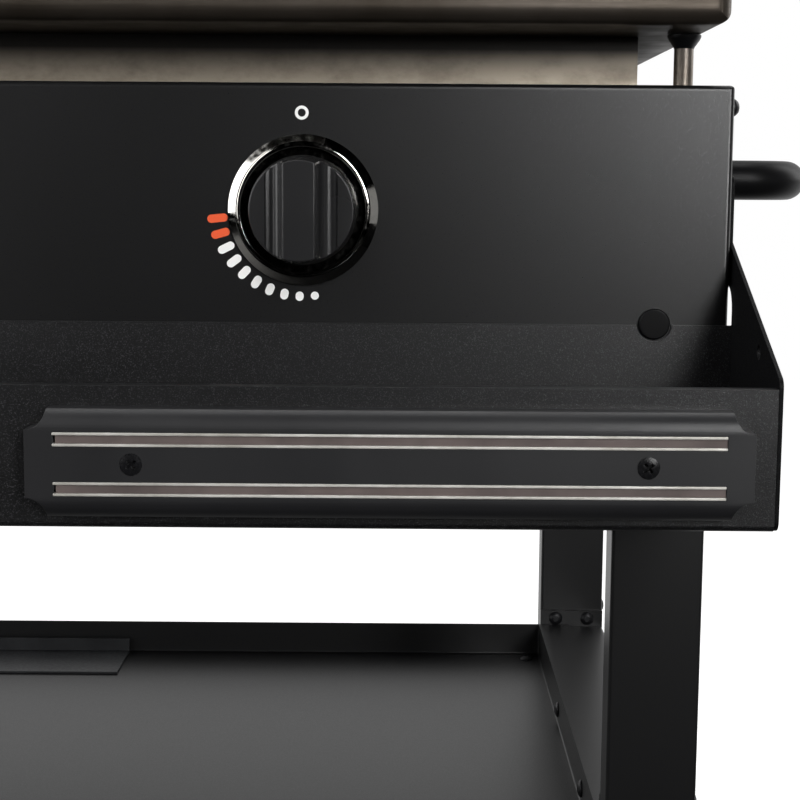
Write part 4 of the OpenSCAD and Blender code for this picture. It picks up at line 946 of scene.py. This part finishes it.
@dataclass
class ToolBar:
    """The double-row magnetic bar screwed to the shelf's front.

    The rows and screws take their places from the frame, and end_in draws the moulding's ends in.
    """

    depth: float = 14.0
    crown: float = 5.0
    flat_half: float = 15.5
    scoop: float = 9.0
    row_half: float = 3.4
    channel_fit: float = 0.15
    channel_depth: float = 8.0
    strip: float = 1.25
    magnet: float = 3.75
    proud: float = 0.5
    magnet_back: float = 1.0
    magnet_short: float = 1.2
    magnet_fit: float = 0.05
    edge: float = 0.6
    edge_angle: float = 28.0
    head_r: float = 4.9
    head_lip: float = 0.25
    head_dome: float = 0.42
    sink_r: float = 5.1
    shank_r: float = 2.6
    shank_l: float = 10.0
    cross_w: float = 1.3
    cross_l: float = 5.4
    cross_depth: float = 1.6
    cross_turn: float = 40.0
    end_in: float = 2.5

    def build(self) -> None:
        """Reads the bar's places from its nodes and makes its pieces."""
        self.low, self.high = drawing_box("magnet_bar_housing")
        self.low.x += self.end_in
        self.high.x -= self.end_in
        strips_low, strips_high = drawing_box("steel_strips")
        self.strip_x = (strips_low.x, strips_high.x)
        self.mid_z = (self.low.z + self.high.z) / 2
        self.half_h = (self.high.z - self.low.z) / 2
        row = (strips_high.z - strips_low.z) / 2 - self.row_half
        self.rows = (self.mid_z - row, self.mid_z + row)
        screws_low, screws_high = drawing_box("bar_screws")
        self.screw_x = (screws_low.x + self.head_r - 0.1, screws_high.x - self.head_r + 0.1)
        self.back = self.high.y
        self.front = self.back - self.depth
        self.make_housing()
        self.make_rows()
        self.make_screws()

    def make_housing(self) -> None:
        """Extrudes the crowned section, scoops its corners and cuts channels and countersinks."""
        fall = self.half_h - self.flat_half
        radius = (fall * fall + self.crown * self.crown) / (2 * self.crown)
        sweep = math.degrees(math.asin(fall / radius))
        upper = arc((-self.depth + radius, self.flat_half), radius, 180 - sweep, 180, 10)
        lower = arc((-self.depth + radius, -self.flat_half), radius, 180, 180 + sweep, 10)
        outline = [(0, self.half_h), *upper, *lower, (0, -self.half_h)]
        bar = extruded("magnet_bar_moulding", outline, self.high.x - self.low.x,
                       (self.low.x, self.back, self.mid_z), Facing.ALONG_X)
        reach = self.depth + OVERCUT
        for x in (self.low.x, self.high.x):
            for z in (self.low.z, self.high.z):
                cut(bar, turned("scoop", [(0, -1), (self.scoop, -1), (self.scoop, reach), (0, reach)],
                                (x, self.back, z), Facing.FRONT, steps=64))
        eased(cleaned(bar, FINE_MERGE), self.edge, angle=self.edge_angle)
        half = self.strip + self.magnet / 2 + self.channel_fit
        for z in self.rows:
            cut(bar, boxed("channel", (self.strip_x[0] - self.channel_fit, self.front - 1, z - half),
                           (self.strip_x[1] + self.channel_fit, self.front + self.channel_depth, z + half)))
        for x in self.screw_x:
            sink = [(0, -reach), (self.shank_r, -reach), (self.shank_r, self.shank_r - self.sink_r),
                    (self.sink_r, 0), (self.sink_r + 1, 1), (0, 1)]
            cut(bar, turned("sink", sink, (x, self.front, self.mid_z), Facing.FRONT, steps=48))
        smoothed(bar, self.edge_angle)
        fitted(bar, "cart", BAR_PLASTIC, "magnet_bar_housing")

    def make_rows(self) -> None:
        """Lays two steel strips with a magnet between them in each channel."""
        strips = []
        magnets = []
        face = self.front - self.proud
        back = self.front + self.channel_depth
        for z in self.rows:
            for edge in (-1, 1):
                mid = z + edge * (self.magnet + self.strip) / 2
                strips.append(boxed("strip", (self.strip_x[0], face, mid - self.strip / 2),
                                    (self.strip_x[1], back, mid + self.strip / 2)))
            magnets.append(boxed("magnet", (self.strip_x[0] + self.magnet_short, face + self.magnet_back,
                                            z - self.magnet / 2),
                                 (self.strip_x[1] - self.magnet_fit, back, z + self.magnet / 2)))
        rails = eased(joined("steel_strips_drawn", strips), width=0.3)
        fitted(rails, "cart", STRIP_STEEL, "steel_strips")
        fitted(eased(joined("magnets_bonded", magnets), width=0.2), "cart", MAGNET, "magnets")

    def make_screws(self) -> None:
        """Turns the countersunk screws and cuts a cross in each head."""
        heads = []
        half, long = self.cross_w / 2, self.cross_l / 2
        shank = self.shank_r - 0.1
        neck = self.shank_r - self.head_r
        profile = [(0, neck - self.shank_l), (shank, neck - self.shank_l), (shank, neck),
                   (self.head_r, -self.head_lip), (self.head_r, 0),
                   (self.head_r * 0.6, self.head_dome - 0.1), (0, self.head_dome)]
        for x in self.screw_x:
            head = turned("screw", profile, (x, self.front, self.mid_z), Facing.FRONT, steps=48)
            for angle in (self.cross_turn, self.cross_turn + 90):
                turn = Matrix.Rotation(math.radians(angle), 2)
                arm = [tuple(turn @ Vector(p)) for p in ((long, half), (-long, half), (-long, -half),
                                                         (long, -half))]
                cut(head, extruded("cross", arm, self.cross_depth + OVERCUT,
                                   (x, self.front + self.cross_depth, self.mid_z), Facing.FRONT))
            heads.append(head)
        fitted(eased(joined("bar_screws_heads", heads), width=0.25), "cart", SCREW_BLACK, "bar_screws")


# ---- Cart ----


@dataclass
class Cart:
    """Legs, rails, tray, feet and their fasteners."""

    edge: float = 0.4
    bolt_edge: float = 0.25
    nut_r: float = 8.5
    nut_h: float = 7.0
    foot_lip: float = 1.5
    foot_pad: float = 5.0
    foot_neck_r: float = 9.0
    foot_neck_z: float = 12.0
    foot_stud_r: float = 5.0
    foot_stud_top: float = 42.0
    post_r: float = 5.2
    post_short: float = 0.5
    post_sunk: float = 0.4
    boss_r: float = 9.0
    boss_h: float = 7.4

    def build(self) -> None:
        """Dresses the tubes, sheets and bolts."""
        for row in ("front", "rear"):
            for side in ("left", "right"):
                dressed(f"leg_{row}_{side}", TUBE_BLACK, edge=self.edge)
        for side in ("left", "right"):
            dressed(f"side_rail_{side}", TUBE_BLACK, edge=self.edge)
        dressed("lower_shelf", TUBE_BLACK, edge=self.edge)
        dressed("cylinder_rest", REST_STEEL, edge=self.edge)
        for node in ("leg_bolts", "tray_bolts", "handle_bolts"):
            dressed(node, BOLT_BLACK, edge=self.bolt_edge)
        dressed("axle", PLATED, edge=0.5)
        dressed("axle_caps", CAP_PLASTIC, edge=0.6)
        self.make_feet()
        self.make_posts()

    def make_feet(self) -> None:
        """Turns the levelling feet: pad, stud and lock nut."""
        low, high = drawing_box("levelling_feet")
        radius = (high.x - low.x) / 2
        lip, pad, stud_r = self.foot_lip, self.foot_pad, self.foot_stud_r
        profile = [(0, 0), (radius - lip, 0), (radius, lip), (radius, pad), (radius - 1, pad + lip),
                   (self.foot_neck_r, self.foot_neck_z), (stud_r, self.foot_neck_z + 0.6),
                   (stud_r, self.foot_stud_top), (0, self.foot_stud_top)]
        parts = []
        for node in ("leg_front_right", "leg_rear_right"):
            leg_low, leg_high = drawing_box(node)
            mid = ((leg_low.x + leg_high.x) / 2, (leg_low.y + leg_high.y) / 2)
            parts.append(turned("foot", profile, (*mid, 0), steps=48))
            parts.append(self.nut((*mid, leg_low.z - self.nut_h)))
        feet = eased(joined("levelling_feet_turned", parts), width=0.4)
        fitted(feet, "cart", FOOT_RUBBER, "levelling_feet")

    def nut(self, place: Place) -> Piece:
        """Returns a hexagon nut that stands at a place."""
        return extruded("nut", arc((0, 0), self.nut_r, 0, 300, 5), self.nut_h, place)

    def make_posts(self) -> None:
        """Turns the levelling studs with their lock nuts, and the rounded bosses under the plate."""
        low, high = drawing_box("levelling_posts")
        nut_z = drawing_box("leg_front_right")[1].z
        bore = self.post_r - self.post_sunk
        side = ((0.3, 0), (0, 0.3), (0, 1.2), (0.7, 2.8), (2.1, 4.8), (3.3, 6.4), (3.7, self.boss_h))
        boss = [(bore, high.z), *[(self.boss_r - inset, high.z - drop) for inset, drop in side],
                (bore, high.z - self.boss_h), (bore, high.z)]
        top = high.z - self.post_short
        stud = [(0, top), (self.post_r, top), (self.post_r, low.z), (0, low.z)]
        studs = []
        bosses = []
        for x in (low.x + self.boss_r, high.x - self.boss_r):
            for node in ("leg_front_right", "leg_rear_right"):
                leg_low, leg_high = drawing_box(node)
                y = (leg_low.y + leg_high.y) / 2
                studs.append(turned("stud", stud, (x, y, 0), steps=48))
                studs.append(self.nut((x, y, nut_z)))
                bosses.append(turned("boss", boss, (x, y, 0), steps=48))
        posts = eased(joined("levelling_posts_turned", studs), width=0.3, segments=2, angle=50)
        fitted(posts, "cart", PLATED, "levelling_posts")
        # The bosses get the dark black oxide: partly their own dark finish, partly painted shade of the
        # plate above
        fitted(smoothed(joined("levelling_post_bosses", bosses), angle=40), "cart", BOLT_BLACK)


@dataclass
class Wheel:
    """A moulded wheel with spokes and its ribbed tyre."""

    row: str
    tyre: float = 14.0
    hub_r: float = 16.0
    bore: float = 6.05
    spokes: int = 6
    hole_r: float = 15.0
    web_half: float = 3.0
    rim_t: float = 5.0
    lip: float = 2.0
    hub_chamfer: float = 3.0
    edge: float = 0.8
    shoulder: float = 5.0
    groove: float = 1.6
    groove_gap: float = 6.0
    groove_half: float = 1.2
    groove_floor: float = 0.7

    def build(self) -> None:
        """Makes the wheel and the tyre on the axle's line."""
        low, high = drawing_box(f"tyre_{self.row}")
        self.width = high.y - low.y
        self.radius = (high.z - low.z) / 2
        self.place = ((low.x + high.x) / 2, low.y, (low.z + high.z) / 2)
        self.rim = self.radius - self.tyre
        self.make_wheel()
        self.make_tyre()

    def make_wheel(self) -> None:
        """Turns hub, web and rim, and cuts the round windows between the spokes."""
        mid = self.width / 2
        inner, hub = self.rim - self.rim_t, self.hub_r
        low, high = mid - self.web_half, mid + self.web_half
        lip, far = self.lip, self.width - self.lip
        outline = [(self.bore, 0), (hub - self.hub_chamfer, 0), (hub, lip), (hub, low), (inner, low),
                   (inner, lip), (self.rim, lip), (self.rim, far), (inner, far), (inner, high), (hub, high),
                   (hub, far), (hub - self.hub_chamfer, self.width), (self.bore, self.width), (self.bore, 0)]
        wheel = turned(f"wheel_{self.row}_moulding", outline, self.place, Facing.BACK, steps=96)
        reach = (self.rim + self.hub_r) / 2
        half = self.web_half + 2.5 * OVERCUT
        hole = [(0, -half), (self.hole_r, -half), (self.hole_r, half), (0, half)]
        for i in range(self.spokes):
            turn = math.tau * i / self.spokes
            place = (self.place[0] + reach * math.cos(turn), self.place[1] + mid,
                     self.place[2] + reach * math.sin(turn))
            cut(wheel, turned("hole", hole, place, Facing.BACK, steps=40))
        eased(wheel, self.edge, angle=28)
        fitted(wheel, f"wheel_{self.row}", WHEEL_PLASTIC, f"wheel_{self.row}")

    def make_tyre(self) -> None:
        """Turns the tyre with three grooves round its tread and rounded shoulders."""
        round_r = self.shoulder
        mid = self.width / 2
        floor = self.radius - self.groove
        tread = []
        for centre in (mid - self.groove_gap, mid, mid + self.groove_gap):
            tread += [(self.radius, centre - self.groove_half), (floor, centre - self.groove_floor),
                      (floor, centre + self.groove_floor), (self.radius, centre + self.groove_half)]
        outline = [(self.rim, 0), *arc((self.radius - round_r, round_r), round_r, -90, 0), *tread,
                   *arc((self.radius - round_r, self.width - round_r), round_r, 0, 90),
                   (self.rim, self.width), (self.rim, 0)]
        tyre = turned(f"tyre_{self.row}_moulding", outline, self.place, Facing.BACK, steps=120)
        fitted(smoothed(tyre, angle=32), f"wheel_{self.row}", TYRE_RUBBER, f"tyre_{self.row}")


@dataclass
class SideHandle:
    """The bent tube on the right side, with a round flange at each end."""

    tube_r: float = 11.0
    bend: float = 30.0
    flange_r: float = 20.0
    flange_t: float = 3.0
    flange_edge: float = 0.8
    weld: float = 2.4
    rim: int = 40
    bend_steps: int = 14

    def build(self) -> None:
        """Extrudes a ring of edges out, round the two bends and back, and adds the flanges."""
        low, high = drawing_box("side_handle")
        y = (low.y + self.flange_r, high.y - self.flange_r)
        z = (low.z + high.z) / 2
        out = high.x - self.tube_r
        corner = out - self.bend
        start = low.x + 1
        bpy.ops.object.select_all(action="DESELECT")
        bpy.ops.mesh.primitive_circle_add(vertices=self.rim, radius=self.tube_r * MM, fill_type="NOTHING")
        tube = stood(bpy.context.object, (start, y[0], z), Facing.RIGHT)
        with editing(tube):
            self.push((corner - start, 0, 0))
            self.turn_corner(point(corner, y[0] + self.bend, z))
            self.push((0, y[1] - y[0] - 2 * self.bend, 0))
            self.turn_corner(point(corner, y[1] - self.bend, z))
            self.push((start - corner, 0, 0))
            closed_up()
        rim, face, bead = self.flange_r, self.flange_t, self.flange_t + self.weld
        profile = [(0, 0), (rim, 0), (rim, face - self.flange_edge), (rim - self.flange_edge, face),
                   (self.tube_r + 2.5, face), (self.tube_r + 0.6, face + 0.6), (self.tube_r - 0.2, bead),
                   (0, bead)]
        flanges = [turned("flange", profile, (low.x, end, z), Facing.RIGHT, steps=56) for end in y]
        handle = smoothed(joined("side_handle_tube", [tube, *flanges]), angle=40)
        fitted(handle, "cart", HANDLE_BLACK, "side_handle")

    def push(self, way: Place) -> None:
        """Extrudes the selected ring of edges by a distance in millimetres."""
        bpy.ops.mesh.extrude_region_move(TRANSFORM_OT_translate={"value": Vector(way) * MM})

    def turn_corner(self, centre: Vector) -> None:
        """Spins the selected ring of edges a quarter turn to the left, seen from above."""
        bpy.ops.mesh.spin(steps=self.bend_steps, angle=math.radians(-90), center=centre, axis=(0, 0, 1))


# ---- Griddle and hood ----


@dataclass
class Griddle:
    """The plate with its wind skirts, hinge hardware and grease cup."""

    # The painted shade on the skirts runs from pale_inset above their bottom to shade_inset below their top,
    # in millimetres
    pale_inset: float = 6.0
    shade_inset: float = 7.0

    def build(self) -> None:
        """Dresses the plate, the skirts, the hinges and the cup."""
        low, high = drawing_box("wind_skirts")
        # Wind skirts: bare steel, pale below and darker toward the plate above, a painted shade of the
        # plate's overhang
        skirt = ShadedBareSteel("shaded_skirt_steel", "skirt_steel", "#c2b6a4", 0.45, 0.6,
                              low=low.z + self.pale_inset, high=high.z - self.shade_inset)
        dressed("griddle_plate", ROLLED_STEEL, edge=0.8, segments=3)
        dressed("wind_skirts", skirt, edge=0.3)
        dressed("hinge_brackets", BOLT_BLACK, edge=0.4)
        dressed("hinge_pins", PLATED, edge=0.4)
        dressed("grease_cup", ALUMINISED, edge=0.3)
        dressed("grease_runners", ALUMINISED, edge=0.3)


@dataclass
class Hood:
    """The hood: bent sheet, end plates, leaves, bumpers and its handle."""

    grip_r: float = 11.0
    cap: float = 3.0
    stand_r: float = 8.0
    stand_foot: float = 13.0
    stand_base: float = 3.0
    sheet_edge: float = 0.5

    def build(self) -> None:
        """Dresses the sheets and hardware and turns the handle."""
        dressed("hood_shell", HOOD_BLACK, edge=self.sheet_edge, segments=3)
        for side in ("left", "right"):
            dressed(f"hood_end_{side}", HOOD_BLACK, edge=self.sheet_edge, segments=3)
        dressed("hood_hinge_leaves", BOLT_BLACK, edge=0.4)
        dressed("hood_bumpers", FOOT_RUBBER, edge=1.2, segments=3)
        self.make_handle()

    def make_handle(self) -> None:
        """Turns the grip with its rounded ends and the two stands that carry it."""
        low, high = drawing_box("hood_handle")
        y = low.y + self.grip_r
        z = (low.z + high.z) / 2
        half = (high.x - low.x) / 2
        mid = (high.x + low.x) / 2
        inner = self.grip_r - self.cap
        grip = [(0, -half), (inner, -half), *arc((inner, -half + self.cap), self.cap, -90, 0, 6),
                *arc((inner, half - self.cap), self.cap, 0, 90, 6), (0, half)]
        parts = [turned("grip", grip, (mid, y, z), Facing.RIGHT, steps=64)]
        reach = high.y - y
        foot, base = self.stand_foot, self.stand_base
        stand = [(0, 0), (foot, 0), (foot, base - 1.2), (foot - 1.2, base), (self.stand_r + 1.5, base),
                 (self.stand_r, base + 2), (self.stand_r, reach), (0, reach)]
        for side in (-1, 1):
            x = mid + side * (half - 2 * self.grip_r)
            parts.append(turned("stand", stand, (x, high.y, z), Facing.FRONT, steps=48))
        handle = smoothed(joined("hood_handle_turned", parts), angle=40)
        fitted(handle, "hood", HANDLE_STEEL, "hood_handle")


@dataclass
class GasTrain:
    """What lies inside the body: burners, supports, manifold, valves and electrodes."""

    def build(self) -> None:
        """Dresses the gas train."""
        for side in ("left", "right"):
            dressed(f"burner_{side}", BURNER_STEEL, edge=0.15)
            dressed(f"valve_body_{side}", BRASS, edge=0.5)
        dressed("burner_supports", ALUMINISED, edge=0.3)
        dressed("gas_manifold", PLATED, edge=0.3)
        dressed("gas_inlet_fitting", BRASS, edge=0.4)
        dressed("igniter_electrodes", CERAMIC, edge=0.2)


# ---- Studio ----


@dataclass(frozen=True)
class Softbox:
    """A rectangular studio lamp on a sphere round the right dial, which it looks at.

    The azimuth runs to the right from the front and the elevation up from the horizon, in degrees;
    the other sizes are millimetres.
    """

    name: str
    azimuth: float
    elevation: float
    width: float
    height: float
    watts: float
    distance: float = 2300.0
    target: Place = (200.0, 0.0, 800.0)

    def hang(self) -> None:
        """Hangs the lamp."""
        turn, rise = math.radians(self.azimuth), math.radians(self.elevation)
        way = Vector((-math.sin(turn) * math.cos(rise), math.cos(turn) * math.cos(rise), -math.sin(rise)))
        bpy.ops.object.light_add(type="AREA", location=point(*self.target) - way * self.distance * MM)
        lamp = bpy.context.object
        lamp.name = self.name
        lamp.data.shape = "RECTANGLE"
        lamp.data.size = self.width * MM
        lamp.data.size_y = self.height * MM
        lamp.data.energy = self.watts
        lamp.rotation_euler = way.to_track_quat("-Z", "Y").to_euler()


@dataclass
class Studio:
    """Floor, world, lamps and the camera."""

    camera_x: float = 215.06
    camera_y: float = -831.6
    camera_drop: float = 49.27
    yaw: float = -0.0584
    pitch: float = 7.6349
    roll: float = 0.3964
    lens_in_frames: float = 2.03353
    sensor: float = 36.0
    floor_half: float = 6000.0
    floor_drop: float = 0.5
    floor_colour: str = "#f4f4f2"
    bounce_colour: str = "#7c7c7a"
    floor_glow: float = 0.82
    world_light: float = 0.2
    world_front: float = 0.0
    world_back: float = 0.86
    sky_start: float = -0.1
    sky_end: float = 0.5

    def build(self) -> None:
        """Sets up the whole studio."""
        self.lay_floor()
        self.light_world()
        for lamp in (
            Softbox("key_softbox", 22, 19, 320, 1230, 23),
            Softbox("low_key_softbox", 24, 7.5, 810, 320, 8.5),
            Softbox("right_fill", 68, 3, 700, 1200, 0.9),
            Softbox("left_strip", -36, 18, 300, 1860, 9),
            Softbox("far_left_softbox", -70, 25, 900, 2450, 32),
            Softbox("right_rim", 115, 25, 900, 1800, 14),
            Softbox("left_rim", -125, 25, 900, 1800, 14),
            Softbox("overhead_softbox", 195, 80, 1800, 1000, 22),
        ):
            lamp.hang()
        self.place_camera()
        bpy.context.scene.view_settings.view_transform = "Standard"

    def lay_floor(self) -> None:
        """Lays a pale floor that is white to the camera but keeps the shadow."""
        bpy.ops.object.select_all(action="DESELECT")
        bpy.ops.mesh.primitive_plane_add(size=2 * self.floor_half * MM,
                                         location=point(0, 0, -self.floor_drop))
        floor = bpy.context.object
        floor.name = "studio_floor"
        material = bpy.data.materials.new("studio_floor")
        tree = emptied(material)
        dim = add_node(tree, "ShaderNodeBsdfDiffuse", {"Color": linear(self.bounce_colour)})
        pale = add_node(tree, "ShaderNodeBsdfDiffuse", {"Color": linear(self.floor_colour)})
        glow = add_node(tree, "ShaderNodeEmission", {"Color": WHITE, "Strength": self.floor_glow})
        both = add_node(tree, "ShaderNodeAddShader", {0: pale.outputs[0], 1: glow.outputs[0]})
        coords = add_node(tree, "ShaderNodeTexCoord")
        split = add_node(tree, "ShaderNodeSeparateXYZ", {"Vector": coords.outputs["Object"]})
        # In metals the floor is dark in front of the cart and white from a metre behind it
        rise = add_node(tree, "ShaderNodeMapRange", {"Value": split.outputs["Y"]})
        sweep = add_node(tree, "ShaderNodeEmission", {"Color": WHITE, "Strength": rise.outputs["Result"]})
        path = add_node(tree, "ShaderNodeLightPath")
        unseen = add_node(tree, "ShaderNodeMixShader", {0: path.outputs["Is Glossy Ray"],
                                                        1: dim.outputs[0], 2: sweep.outputs[0]})
        pick = add_node(tree, "ShaderNodeMixShader", {0: path.outputs["Is Camera Ray"],
                                                      1: unseen.outputs[0], 2: both.outputs[0]})
        add_node(tree, "ShaderNodeOutputMaterial", {"Surface": pick.outputs[0]})
        floor.data.materials.append(material)

    def light_world(self) -> None:
        """Makes the world white to the camera and behind the cart, and dim in front of it."""
        world = bpy.data.worlds.new("studio")
        bpy.context.scene.world = world
        tree = emptied(world)
        coords = add_node(tree, "ShaderNodeTexCoord")
        split = add_node(tree, "ShaderNodeSeparateXYZ", {"Vector": coords.outputs["Generated"]})
        sky = add_node(tree, "ShaderNodeMapRange",
                       {"Value": split.outputs["Y"], "From Min": self.sky_start, "From Max": self.sky_end,
                        "To Min": self.world_front, "To Max": self.world_back})
        path = add_node(tree, "ShaderNodeLightPath")
        diffuse = add_node(tree, "ShaderNodeBackground", {"Color": WHITE, "Strength": self.world_light})
        mirror = add_node(tree, "ShaderNodeBackground", {"Color": WHITE, "Strength": sky.outputs["Result"]})
        plain = add_node(tree, "ShaderNodeBackground", {"Color": WHITE, "Strength": 1.0})
        shiny = add_node(tree, "ShaderNodeMath", {0: path.outputs["Is Glossy Ray"],
                                                  1: path.outputs["Is Transmission Ray"]},
                         operation="MAXIMUM")
        first = add_node(tree, "ShaderNodeMixShader", {0: shiny.outputs[0], 1: diffuse.outputs[0],
                                                       2: mirror.outputs[0]})
        last = add_node(tree, "ShaderNodeMixShader", {0: path.outputs["Is Camera Ray"],
                                                      1: first.outputs[0], 2: plain.outputs[0]})
        add_node(tree, "ShaderNodeOutputWorld", {"Surface": last.outputs[0]})

    def place_camera(self) -> None:
        """Stands the camera in front of the right dial and aims it slightly down."""
        bpy.ops.object.camera_add()
        camera = bpy.context.object
        yaw, pitch, roll = (math.radians(a) for a in (self.yaw, self.pitch, self.roll))
        ahead = Vector((math.sin(yaw), math.cos(yaw), 0))
        right = Vector((math.cos(yaw), -math.sin(yaw), 0))
        up = Vector((0, 0, 1))
        forward = ahead * math.cos(pitch) - up * math.sin(pitch)
        above = up * math.cos(pitch) + ahead * math.sin(pitch)
        side = right * math.cos(roll) + above * math.sin(roll)
        top = above * math.cos(roll) - right * math.sin(roll)
        turn = Matrix((side, top, -forward)).transposed()
        place = point(self.camera_x, self.camera_y, PANEL_TOP - self.camera_drop)
        camera.matrix_world = Matrix.Translation(place) @ turn.to_4x4()
        camera.data.sensor_width = self.sensor
        camera.data.lens = self.sensor * self.lens_in_frames
        bpy.context.scene.camera = camera


def main() -> None:
    """Builds the station's sub-assemblies in order, then the studio."""
    logging.basicConfig(level=logging.INFO)
    for assembly in (Body(), Dial("left"), Dial("right"), Shelf(), ToolBar(), Cart(), Wheel("front"),
                     Wheel("rear"), SideHandle(), Griddle(), Hood(), GasTrain(), Studio()):
        log.info("building %s", type(assembly).__name__)
        assembly.build()


if __name__ == "__main__":
    main()
